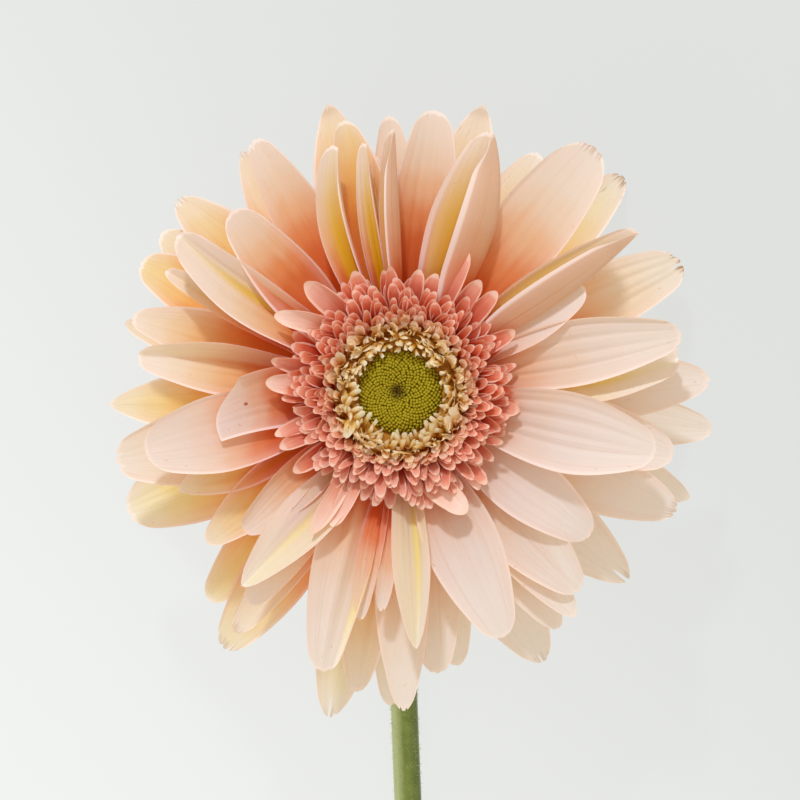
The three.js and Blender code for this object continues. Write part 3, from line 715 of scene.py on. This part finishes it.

# %% [markdown]
# ## The crest's skin
# Dark salmon at the root, with a paler rim, a painted highlight, that draws each scale against the next. One
# colour with shadows could do, but the scales would run together. The inner rows mix towards cream, the edge
# towards pale pink; on the scales below the disc that pale pink is partly painted light.


# %% The crest's skin
def crest_material():
    """The colour by place = along + 0.25 streaks; a painted highlight where across is over 0.62 or along over
    0.86.
    """
    sh = Shader("crest_petal")
    along, across, pick, edge = sh.mark("along"), sh.mark("across"), sh.mark("pick"), sh.mark("edge")
    streaks = sh.noise(across * 3, along * 0.8, pick * 50, 1.6, 2)
    place = along + (streaks - 0.5) * 0.25
    salmon = sh.ramp(place, [(0.2, (160, 34, 12)), (0.45, (196, 68, 38)), (0.7, (214, 103, 73)),
                             (0.9, (238, 153, 123)), (1.0, (248, 202, 176))])
    cream = sh.ramp(place, [(0.2, (180, 70, 20)), (0.5, (210, 122, 76)), (0.8, (238, 180, 146)),
                            (1.0, (252, 222, 192))])
    pale = sh.ramp(place, [(0.2, (222, 104, 66)), (0.45, (238, 172, 142)), (0.7, (248, 210, 190)),
                           (1.0, (252, 232, 220))])
    # a painted highlight along each scale's rim and tip
    rim_highlight = abs(across).smooth(0.62, 0.86) * along.smooth(0.2, 0.6) + along.smooth(0.86, 0.96)
    colour = sh.coats(salmon, (sh.mark("inner"), cream), (edge, pale),
                      (rim_highlight.smooth(0.1, 1.0) * 0.85, (254, 222, 200)))
    tints = (248, 92, 40), (255, 160, 112), along.smooth(0.3, 1.0)
    return sh.finish(colour, 0.5, sh.bump(streaks, 0.15 * MM, 0.5), tints, 0.36 - edge * 0.2, specular=0.16)


crest_skin = crest_material()

# %% [markdown]
# ## The crest
# A particle system could scatter the scales, but here seeded draws nudge each from its even place, so that
# every run gives the same flower. Those below the disc are paler in the photo, and stand up more; their
# paler colour is partly painted light.

# %% The crest
DARK_SIDE = 10  # azimuth of the deepest scales: the pale ones are opposite
PALEST, STAND_UP = 0.36, 24  # how pale those are, and by how many degrees times that they stand up more
pile = Pile()
for row, (count, root_r, root_h, length, rise, fall, width) in enumerate(CREST_ROWS):
    for i in range(count):
        azimuth = 360 * (i + 0.5 * (row % 2)) / count + rng.uniform(-3, 3)
        # paler below the disc: partly the scales' own colour, partly painted light
        paler = PALEST * max(0, -math.cos(math.radians(azimuth - DARK_SIDE)))
        pile.petal(sheet(
            azimuth + rng.normal(0, 6), azimuth, root_r, root_h + rng.uniform(-0.4, 0.4), 0,
            width * rng.uniform(0.7, 1.15), rise + STAND_UP * paler + rng.uniform(-7, 7),
            fall + STAND_UP * paler + rng.uniform(-16, 16), rng.uniform(-44, -14), rng.uniform(14, 44),
            n=10, m=8, claw=0.6, blunt=0.62, round_end=0.24, teeth=[(rng.uniform(-0.4, 0.4), 0.02, 0.2)],
            wave=rng.uniform(0, 0.2), phase=rng.uniform(0, 6.28), twist=rng.normal(0, 16),
            curl=rng.uniform(-30, 30), length=length * rng.uniform(0.86, 1.08),
            lips=(rng.uniform(0, 70), rng.uniform(0, 70))), edge=paler, inner=max(0, row - 4) * 0.25)
for tip, root, reach, width, paleness in CREST_EDGE:
    pile.petal(sheet(
        tip, root, 12.6, 8.3, reach, width, 24 + rng.uniform(-3, 3), 4 + rng.uniform(-5, 5),
        rng.uniform(-50, -14), rng.uniform(14, 50), n=32, m=21, claw=0.5, widest=0.6, blunt=0.5,
        round_end=0.2, wave=0.25, phase=rng.uniform(0, 6.28), twist=rng.normal(0, 14),
        curl=rng.uniform(-20, 30), grooves=0.06, lips=(rng.uniform(20, 80), rng.uniform(20, 80))),
        inner=0.0, edge=paleness)
pile.made("crest_petals", crest_skin, "crest_florets", "crest_salmon")

# %% [markdown]
# ## The open florets' places and skin
# Open florets make a crumpled ring of cream straps and yellow throats. The inner ones are narrow fingers
# that lean over the green buds, and the outer ones are broader, lobed and flushed with pink. Real ones are
# tubes that split into lobes. Only the lobes show, so strap-like sheets are enough.

# %% The open florets' places and skin
# Rows: count, root radius, root height, slope at root, slope at tip, length, width, how far the sides cup,
# how pink, how unruly
DISC_ROWS = [
    (50, 9.2, 11.2, 100, 154, 2.8, 0.95, 70, 0.0, 1.0), (48, 9.8, 11.5, 98, 148, 3.2, 1.1, 65, 0.05, 1.0),
    (44, 10.3, 11.5, 94, 128, 2.6, 1.2, 60, 0.0, 1.2), (60, 10.7, 11.3, 94, 100, 2.5, 1.5, 60, 0.1, 2.4),
    (44, 10.9, 11.1, 82, 60, 2.7, 1.5, 55, 0.2, 1.4), (46, 11.5, 11.6, 84, 36, 3.0, 1.6, 50, 0.45, 1.2),
    (44, 12.0, 11.5, 78, 24, 3.2, 1.8, 45, 0.75, 1.2), (44, 12.6, 11.2, 72, 24, 3.3, 1.8, 40, 1.0, 1.2),
    (70, 11.0, 12.0, 88, 60, 2.9, 0.35, 80, 0.0, 1.0),
]
# Larger ones, each seen in the photo: tip azimuth, root azimuth, root radius, height, two slopes, length,
# width, how pink
DISC_LARGE = [
    (230, 244, 9.3, 13.2, 34, 10, 4.4, 2.3, 0.0), (108, 122, 12.4, 12.2, 100, 160, 4.8, 2.2, 0.4),
    (118, 130, 12.0, 12.2, 100, 156, 4.6, 1.9, 0.5), (58, 62, 10.6, 12.0, 88, 30, 3.4, 2.6, 0.3),
    (42, 46, 10.8, 12.0, 86, 34, 3.2, 2.6, 0.3), (78, 76, 10.6, 12.0, 88, 24, 3.2, 2.2, 0.4),
]


def floret_material():
    """The colour by place = along + 0.3 streaks, from an amber throat to cream, or to rose where it is pink."""
    sh = Shader("open_floret")
    along, across, pick = sh.mark("along"), sh.mark("across"), sh.mark("pick")
    streaks = sh.noise(across * 4, along, pick * 50, 1.5, 2)
    place = along + (streaks - 0.5) * 0.3
    cream = sh.ramp(place, [(0.2, (156, 84, 0)), (0.42, (206, 142, 14)), (0.62, (244, 210, 124)),
                            (0.85, (255, 248, 216))])
    rose = sh.ramp(place, [(0.2, (188, 74, 40)), (0.42, (212, 112, 76)), (0.62, (236, 166, 136)),
                           (0.9, (252, 216, 192))])
    tints = (240, 166, 20), (255, 228, 150), along
    return sh.finish(sh.mix(sh.mark("pink"), cream, rose), 0.5, sh.bump(streaks, 0.12 * MM, 0.5), tints, 0.4,
                     specular=0.3)


floret_skin = floret_material()

# %% [markdown]
# ## The open florets
# Rows of sheets again, and each row has a number for how unruly it is, since the real ring looks ruffled. A
# cloth simulation could crumple it, but it would fall differently after each change. Below the disc the
# inward ones are longer and lean further over the buds.

# %% The open florets
pile = Pile()
for row, (count, root_r, root_h, rise, fall, length, width, cup, pink, wild) in enumerate(DISC_ROWS):
    for i in range(count):
        azimuth = 360 * (i + 0.37 * row) / count + rng.uniform(-3, 3)
        below = (fall > 90) * smoothstep(0.3 - 0.8 * math.cos(math.radians(azimuth - DARK_SIDE)))
        pile.petal(sheet(
            azimuth + rng.normal(0, 8) * wild, azimuth, root_r + 1.1 * below + rng.uniform(-0.4, 0.4) * wild,
            root_h, 0, width * rng.uniform(0.8, 1.25), rise + 10 * below + rng.uniform(-10, 10) * wild,
            fall + 10 * below + rng.uniform(-22, 18) * wild, -cup * rng.uniform(0.6, 1.3),
            cup * rng.uniform(0.6, 1.3), n=10, m=8, claw=0.6, widest=0.8, blunt=0.8, round_end=0.1,
            teeth=[(rng.uniform(-0.2, 0.2), 0.12 * (row > 2) * (rng.random() < 0.6), 0.12)],
            wave=0.04 + 0.04 * row, phase=rng.uniform(0, 6.28), twist=rng.normal(0, 12 + 14 * wild),
            curl=rng.uniform(-40, 50), length=length * (1 + 0.5 * below) * rng.uniform(0.75, 1.2)), pink=pink)
for tip, root, root_r, root_h, rise, fall, length, width, pink in DISC_LARGE:
    points, along, across, *_ = sheet(
        tip, root, root_r, root_h, 0, width, rise, fall, -40, 40, n=24, m=15, claw=0.5, widest=0.6, blunt=0.5,
        round_end=0.2, teeth=[(0.0, 0.06, 0.15)], wave=0.2, phase=root, twist=rng.normal(0, 10), curl=10,
        length=length)
    pile.grid(in_row(points), along=0.35 + 0.65 * along, across=across, pick=rng.random(), pink=pink)
pile.made("open_florets", floret_skin, "disc_florets", "floret_cream")

# %% [markdown]
# ## Disc centre
# Closed green buds fill the middle, on a dome with a dimple. They could be a bumpy texture, but from this near
# their round heads show. As on a real disc, the nth bud is turned by n golden angles, at a radius that grows
# as n^0.55, so they are finer in the middle. A bud is a small turned shape with five lobes.

# %% Disc centre
BUDS, BUD_R, STRAY = 620, 0.395, 0.06  # how many, the outer ones' radius and how far one may stray, mm
GOLDEN_ANGLE = 137.50776
DISC_R, DISC_TOP = 7.7, 11.3
DIMPLE = np.array([-0.55, 0.1])  # the dimple sits a little off the middle


def dome(radius):
    """Height of the disc: its top, less a fall at the rim, 1.1 exp(-(x / 0.42)²) and 0.5 exp(-(x / 0.12)²)."""
    x = radius / DISC_R
    dips = 1.1 * np.exp(-((x / 0.42) ** 2)) + 0.5 * np.exp(-((x / 0.12) ** 2))
    return DISC_TOP - 1.1 * np.clip(x - 0.7, 0, 1) ** 2 / 0.09 - dips


def bud_material():
    """Olive, paler at the top of each bud and brown in the disc's middle."""
    sh = Shader("disc_bud")
    olive = sh.ramp(sh.mark("along"), [(0.0, (112, 96, 2)), (0.45, (128, 112, 2)), (0.75, (144, 128, 4)),
                                       (1.0, (172, 156, 34))])
    colour = sh.coats(olive, (sh.mark("pick") * 0.3, (156, 120, 4)),
                      (sh.mark("centre").smooth(0.3, 0.05) * 0.85, (62, 34, 4)))
    return sh.finish(colour, 0.6, None, specular=0.15)


radius = DISC_R * ((np.arange(BUDS) + 0.6) / BUDS) ** 0.55
azimuth = np.radians(GOLDEN_ANGLE * np.arange(BUDS))
size = BUD_R * (0.72 + 0.28 * (radius / DISC_R) ** 0.6)
ring = np.linspace(0, 2 * np.pi, 10, endpoint=False)
# A bud's profile: share of its radius, height over the dome in bud radii
profile = np.array([(0.75, -0.9), (1, 0), (1, 0.5), (0.82, 0.95), (0.48, 1.25), (0.14, 1.36), (0.02, 1.34)])
lobes = 1 + 0.09 * np.cos(5 * ring)[None, :] * (profile[:, :1] ** 0.5)
up_the_bud = ((profile[:, 1] + 0.9) / 2.26)[:, None]
pile = Pile()
for k in range(BUDS):
    out = radius[k] / DISC_R
    x = radius[k] * math.sin(azimuth[k]) + DIMPLE[0] * (1 - out) + rng.normal(0, STRAY)
    y = radius[k] * math.cos(azimuth[k]) + DIMPLE[1] * (1 - out) + rng.normal(0, STRAY)
    tall = 1 + 0.5 * out + rng.uniform(-0.15, 0.15)
    points = np.stack([x + size[k] * profile[:, :1] * lobes * np.cos(ring + k),
                       y + size[k] * profile[:, :1] * lobes * np.sin(ring + k),
                       dome(radius[k]) + size[k] * tall * profile[:, 1:] + 0 * ring], -1)
    pile.grid(in_row(points), wrap=True, caps=(0, -1), along=up_the_bud, pick=rng.random(), centre=out)
pile.made("disc_buds", bud_material(), "disc_centre", "disc_olive")

# %% [markdown]
# ## The ground that the florets stand on
# Behind the florets lies the fleshy head that they grow from. It could be left out, but then the pale surface
# would show through their gaps. A turned shape is enough, as it is seen only in slits.


# %% Floret ground
def turned(profile, sides=96):
    """A grid of points (radius cos angle, radius sin angle, height) for each (radius, height) given."""
    angle = np.linspace(0, 2 * np.pi, sides, endpoint=False)
    profile = np.array(profile, float)
    return np.stack([profile[:, :1] * np.cos(angle), profile[:, :1] * np.sin(angle),
                     profile[:, 1:] + 0 * angle], -1)


GROUND = [(9.1, -1.2), (9.4, 2.4), (11.2, 5), (13.4, 6.4), (13.7, 8.0), (13.0, 9.6), (11.8, 10.8),
          (10.6, 10.9), (9.2, 10.6), (7.8, 10.4), (6, 11.0), (4, 10.7), (2, 9.9), (0.1, 9.3)]
sh = Shader("floret_ground")
mottle, outwards = sh.noise_here(900.0), sh.mark("along")
ground = sh.coats(
    sh.mix(mottle.smooth(0.35, 0.7), (170, 104, 12), (204, 142, 40)),
    (outwards.smooth(0.36, 0.28), (124, 108, 6)), (outwards.smooth(0.55, 0.75), (206, 98, 66)))
pile = Pile()
pile.grid(in_row(turned(GROUND)), wrap=True, caps=(0, -1), along=np.linspace(1.08, 0, len(GROUND))[:, None])
pile.made("floret_ground", sh.finish(ground, 0.7, sh.bump(mottle, 0.1 * MM, 0.5)), "disc_centre", "disc_olive")

# %% [markdown]
# ## Calyx
# Under the head is a green cup with rows of narrow bracts, the longest at the top. Scales could be painted on
# the cup, but on a real one they stand off it. They are sheets like the petals, so the same function makes
# them, and the cup is turned.

# %% Calyx
CUP = [(0.1, -14), (3.2, -14), (4.2, -13.8), (6.2, -12.2), (8.8, -8.9), (11.0, -5.4), (11.4, -4.0),
       (9.6, -2.6), (8.9, -1), (8.7, 2), (8.6, 4), (8, 4.6)]
# Bract rows: count, turn, root radius, root height, reach, slope at root, slope at tip, width
BRACT_ROWS = [
    (16, 0, 4.6, -12.4, 10.6, 36, 26, 2.6), (22, 8, 7.0, -9.9, 15.4, 30, 6, 2.9),
    (26, 4, 9.4, -7.0, 18.4, 14, -10, 3.0),
]


def calyx_material():
    """Streaks and mottle between two greens, paler at the margins."""
    sh = Shader("calyx_green")
    streaks = sh.noise(sh.mark("across") * 7, sh.mark("along") * 1.5, sh.mark("pick") * 30, 1.4, 3)
    mottle = sh.noise_here(700.0)
    colour = sh.mix((streaks * 0.6 + mottle * 0.4).smooth(0.3, 0.7), (74, 92, 34), (122, 142, 66))
    colour = sh.mix(abs(sh.mark("across")).smooth(0.8, 1.0) * 0.5, colour, (176, 184, 124))
    return sh.finish(colour, 0.6, sh.bump(streaks + mottle, 0.15 * MM, 0.5), specular=0.3, sheen=0.2)


pile = Pile()
pile.grid(in_row(turned(CUP)), wrap=True, caps=(0, -1), along=0.3, across=0.0, pick=0.5)
for count, turn_by, root_r, root_h, reach, rise, fall, width in BRACT_ROWS:
    for i in range(count):
        azimuth = turn_by + 360 * i / count + rng.uniform(-2, 2)
        pile.petal(sheet(
            azimuth + rng.uniform(-3, 3), azimuth, root_r, root_h, reach + rng.uniform(-1, 0.6), width, rise,
            fall + rng.uniform(-6, 3), -26, 26, n=20, m=9, claw=0.9, widest=0.2, blunt=0.12, round_end=0.05))
pile.made("calyx_bracts", calyx_material(), "calyx", "calyx_green")

# %% [markdown]
# ## The stem's route
# The stem goes down the head's axis, round the neck's bend and along the surface, on the CAD's route. A curve
# with a bevel could make the tube, but it couldn't carry ribs, hairs and marks for its colours. So the route
# is a list of points, and each has a thickness and its own side and up directions.

# %% The stem's route
STEM_LENGTH_ALONG_Y = 346 * MM
NECK_R, STEM_END_R = 2.6 * MM, 3.3 * MM
NECK_TOP, NECK_BEND_R, NECK_LEAD = -14.0 * MM, 13 * MM, 1.3 * MM
# The lying stem's slight curve: sideways and down from the head, mm
SWAY = [(0.5, 55), (1.2, 80), (4, 150), (6.5, 225), (5.5, 290)]
SWAY_END = 2


def catmull(points, count):
    """Points on a smooth curve through the given ones, evenly spaced between them.

    Between b and c, with a before and d after them and f from 0 to 1, it is half of
    2b + (c - a) f + (2a - 5b + 4c - d) f² + (3b - a - 3c + d) f³.
    """
    p = np.array(points, float)
    p = np.concatenate([2 * p[:1] - p[1:2], p, 2 * p[-1:] - p[-2:-1]])
    u = np.linspace(0, len(p) - 3 - 1e-9, count)
    i, f = u.astype(int), (u % 1)[:, None]
    a, b, c, d = p[i], p[i + 1], p[i + 2], p[i + 3]
    return 0.5 * (2 * b + (c - a) * f + (2 * a - 5 * b + 4 * c - d) * f**2 + (3 * b - a - 3 * c + d) * f**3)


def thickness(y):
    """The stem's radius, which grows evenly from the neck to the cut."""
    return NECK_R + (STEM_END_R - NECK_R) * np.clip((HEAD[1] - y) / STEM_LENGTH_ALONG_Y, 0, 1)


turn_at = HEAD + AXIS * (NECK_TOP - NECK_LEAD)
bend = np.linspace(0, math.pi / 2 - LEAN, 30)[:, None]
arc = turn_at - AXIS * NECK_BEND_R * np.sin(bend) - TOPWARD * NECK_BEND_R * (1 - np.cos(bend))
knots = [(HEAD[0], arc[-1, 1])] + [(HEAD[0] + x * MM, HEAD[1] - down * MM) for x, down in SWAY]
sway = catmull(knots + [(HEAD[0] + SWAY_END * MM, HEAD[1] - STEM_LENGTH_ALONG_Y)], 260)
lying = np.column_stack([sway, thickness(sway[:, 1])])  # the middle is as high as the stem is thick
route = np.concatenate([np.linspace(HEAD + AXIS * NECK_TOP, turn_at, 4)[:-1], arc, lying[1:]])
girth = thickness(route[:, 1])
ahead = unit(np.gradient(route, axis=0))
side = unit(np.cross(ahead, np.cross([1.0, 0, 0], ahead)))
up = np.cross(ahead, side)
print("stem's length, mm:", round(np.linalg.norm(np.diff(route, axis=0), axis=1).sum() / MM, 1))

# %% [markdown]
# ## The stem
# A gerbera's stem is round, finely ribbed and bare, and its cut end shows pale flesh. A bump could fake the
# ribs, but they also show at the outline. The end ring is pushed along the stem by its height, which gives
# the slanted cut, and the cut face is rings that shrink to its middle.

# %% The stem
SIDES, RIBS, RIB_DEPTH = 56, 14, 0.018  # the depth is a share of the radius
CUT_SLANT = math.radians(35)
angle = np.linspace(0, 2 * np.pi, SIDES, endpoint=False)
ribs = 1 - RIB_DEPTH + RIB_DEPTH * np.cos(RIBS * angle)[None, :]
tube = route[:, None] + girth[:, None, None] * ribs[..., None] * (
    side[:, None] * np.cos(angle)[None, :, None] + up[:, None] * np.sin(angle)[None, :, None])
slant = (tube[-1] - route[-1]) @ STANDING
tube[-1] += ahead[-1] * (slant * math.tan(CUT_SLANT))[:, None] * np.sign(up[-1, 2])
tube[..., 2] = np.maximum(tube[..., 2], 0.05 * MM)
cut = tube[-1].mean(0)
cut_rings = np.stack([cut + (tube[-1] - cut) * k for k in (1.0, 0.93, 0.86, 0.6, 0.3, 0.02)])
flesh = np.array([0.35, 0.4, 0.7, 1.0, 1.0, 0.8])  # how pale each of these rings is
pile = Pile()
pile.grid(tube, wrap=True, along=np.linspace(0, 1, len(tube))[:, None], across=np.cos(angle)[None, :],
          pick=0.3, cut=0.0)
pile.grid(cut_rings, wrap=True, caps=(-1,), along=1.0, across=0.0, pick=0.3, cut=flesh[:, None])


def stem_material():
    """Two greens by mottle, browner towards the cut, with painted light on one flank and painted shade on the
    other.
    """
    sh = Shader("stem_green")
    flank = sh.mark("across")
    mottle, fine = sh.noise_here(450.0, 3), sh.noise_here(2600.0, 2)
    colour = sh.coats(
        sh.mix(mottle.smooth(0.3, 0.7), (118, 138, 62), (136, 156, 78)),
        (sh.mark("along").smooth(0.6, 1.0) * 0.5, (150, 128, 88)),
        # painted light on the left flank and painted shade on the right one
        (flank.smooth(-0.05, -0.8) * 0.9, (190, 202, 146)),
        (flank.smooth(0.1, 0.9) * 0.7, (84, 98, 40)),
        (fine.smooth(0.62, 0.75) * 0.35, (176, 188, 130)),
        (sh.mark("cut"), (206, 214, 160)))
    return sh.finish(colour, 0.55, sh.bump(mottle * 0.5 + fine, 0.12 * MM, 0.5), specular=0.3, sheen=0.25)


pile.made("stem_tube", stem_material(), "stem", "stem_green")

# %% [markdown]
# ## Hairs
# Soft pale hairs stand on the stem, thickest on the neck, and light up its edges. A hair particle system could
# grow them, but it isn't part of a mesh and wouldn't travel with the object. Each is a thin three-sided
# spike, slightly bowed, and leans by a seeded draw.

# %% Hairs
HAIRS = 7600
# A hair's rings: share of its height, radius in millimetres
HAIR_RINGS = ((0, 0.045), (0.5, 0.034), (1.0, 0.0))
place = rng.random(HAIRS) ** 1.6 * (len(route) - 3)
i = place.astype(int)
round_it = rng.uniform(0, 2 * np.pi, HAIRS)
outward = side[i] * np.cos(round_it)[:, None] + up[i] * np.sin(round_it)[:, None]
foot = route[i] + (route[i + 1] - route[i]) * (place - i)[:, None] + outward * girth[i][:, None] * 0.97
lean_to = unit(outward + ahead[i] * rng.normal(0.1, 0.45, (HAIRS, 1)) + rng.normal(0, 0.25, (HAIRS, 3)))
tall = rng.uniform(0.3, 0.85, HAIRS)[:, None] * MM
thin_side = np.cross(lean_to, ahead[i])
thin_up = np.cross(thin_side, lean_to)
corner = np.array([0, 2 * np.pi / 3, 4 * np.pi / 3])
across_it = (thin_side[:, None] * np.cos(corner)[None, :, None]
             + thin_up[:, None] * np.sin(corner)[None, :, None])
rings = []
for height, radius in HAIR_RINGS:
    centre = foot + lean_to * tall * height + thin_side * (0.12 * height**2) * tall
    rings.append(centre[:, None] + radius * MM * across_it)
off_the_surface = (foot + lean_to * tall)[:, 2] > 0.1 * MM
hair = np.stack(rings, 1)[off_the_surface]  # hair, ring, corner, xyz
index = np.arange(len(hair) * 9).reshape(-1, 3, 3)
pile = Pile()
pile.points.append(hair.reshape(-1, 3))
pile.quads.append(squares(np.concatenate([index, index[:, :, :1]], 2)))
sh = Shader("stem_hair")
straw = sh.mix(sh.noise_here(300.0).smooth(0.3, 0.7), (226, 232, 190), (246, 248, 222))
pile.made("stem_hairs", sh.finish(straw, 0.5, None, ((240, 244, 214),), 0.4), "stem", "stem_green")
print("hairs kept:", len(hair), "of", HAIRS)

# %% [markdown]
# ## The surface
# The flower lies on a pale surface that hardly shows a shadow. A white floor would need much light, and that
# would bleach the petals. So the floor is dark grey and glows by itself, most towards the lower left.

# %% The surface
sh = Shader("pale_surface")
tone = sh.mix(sh.noise_here(3.0).smooth(0.3, 0.7), (80, 81, 80), (86, 87, 85))
floor_material = sh.finish(tone, 0.9, None, specular=0.1)
place = sh.node("ShaderNodeSeparateXYZ", {}, {0: sh.here()})
x, y = Value(sh, place.outputs[0]), Value(sh, place.outputs[1])
paler = (x * -1.5 - y * 1.3 + 0.24).smooth(-0.12, 0.34)
shine = sh.tree.nodes["Principled BSDF"]
sh.tree.links.new(sh.mix(paler, (226, 228, 226), (247, 249, 247)).socket, shine.inputs["Emission Color"])
shine.inputs["Emission Strength"].default_value = 0.86
floor_mesh = bpy.data.meshes.new("surface")
floor_mesh.from_pydata([(-3, -3, 0), (3, -3, 0), (3, 3, 0), (-3, 3, 0)], [], [(0, 1, 2, 3)])
floor = bpy.data.objects.new("surface", floor_mesh)
bpy.context.collection.objects.link(floor)
floor_mesh.materials.append(floor_material)

# %% [markdown]
# ## The light
# The light is read from the photo's shadows, which are crisp and fall towards the stem. So a small bright
# light stands at the head's top, slightly left, a weak soft one fills from the left, and an even, slightly
# warm surround lights the rest. A picture of a studio could do it, but three named parts are easier to judge.

# %% The light
SURROUND, SURROUND_STRENGTH = (250, 242, 230), 0.82
# Name: direction from the head in its own axes, distance and size in metres, power in watts, colour
LIGHTS = {"key": ((-0.16, 0.72, 0.68), 1.6, 0.12, 15.3, (0.79, 0.89, 1.0)),
          "fill": ((-1.0, -0.5, 0.22), 1.2, 0.5, 1.3, (1.0, 0.99, 0.97))}
world = bpy.data.worlds.new("surround")
world.use_nodes = True
background = world.node_tree.nodes["Background"]
background.inputs[0].default_value = linear(SURROUND)
background.inputs[1].default_value = SURROUND_STRENGTH
bpy.context.scene.world = world
for name, (towards, distance, size, power, colour) in LIGHTS.items():
    data = bpy.data.lights.new(name, "AREA")
    data.size, data.energy, data.color = size, power, colour
    light = bpy.data.objects.new(name, data)
    bpy.context.collection.objects.link(light)
    way = unit(towards[0] * ACROSS + towards[1] * TOPWARD + towards[2] * AXIS)
    light.location = Vector(HEAD + way * distance)
    light.rotation_euler = Vector(way).to_track_quat("Z", "Y").to_euler()
    print(name, "at, m:", np.round(light.location, 2))
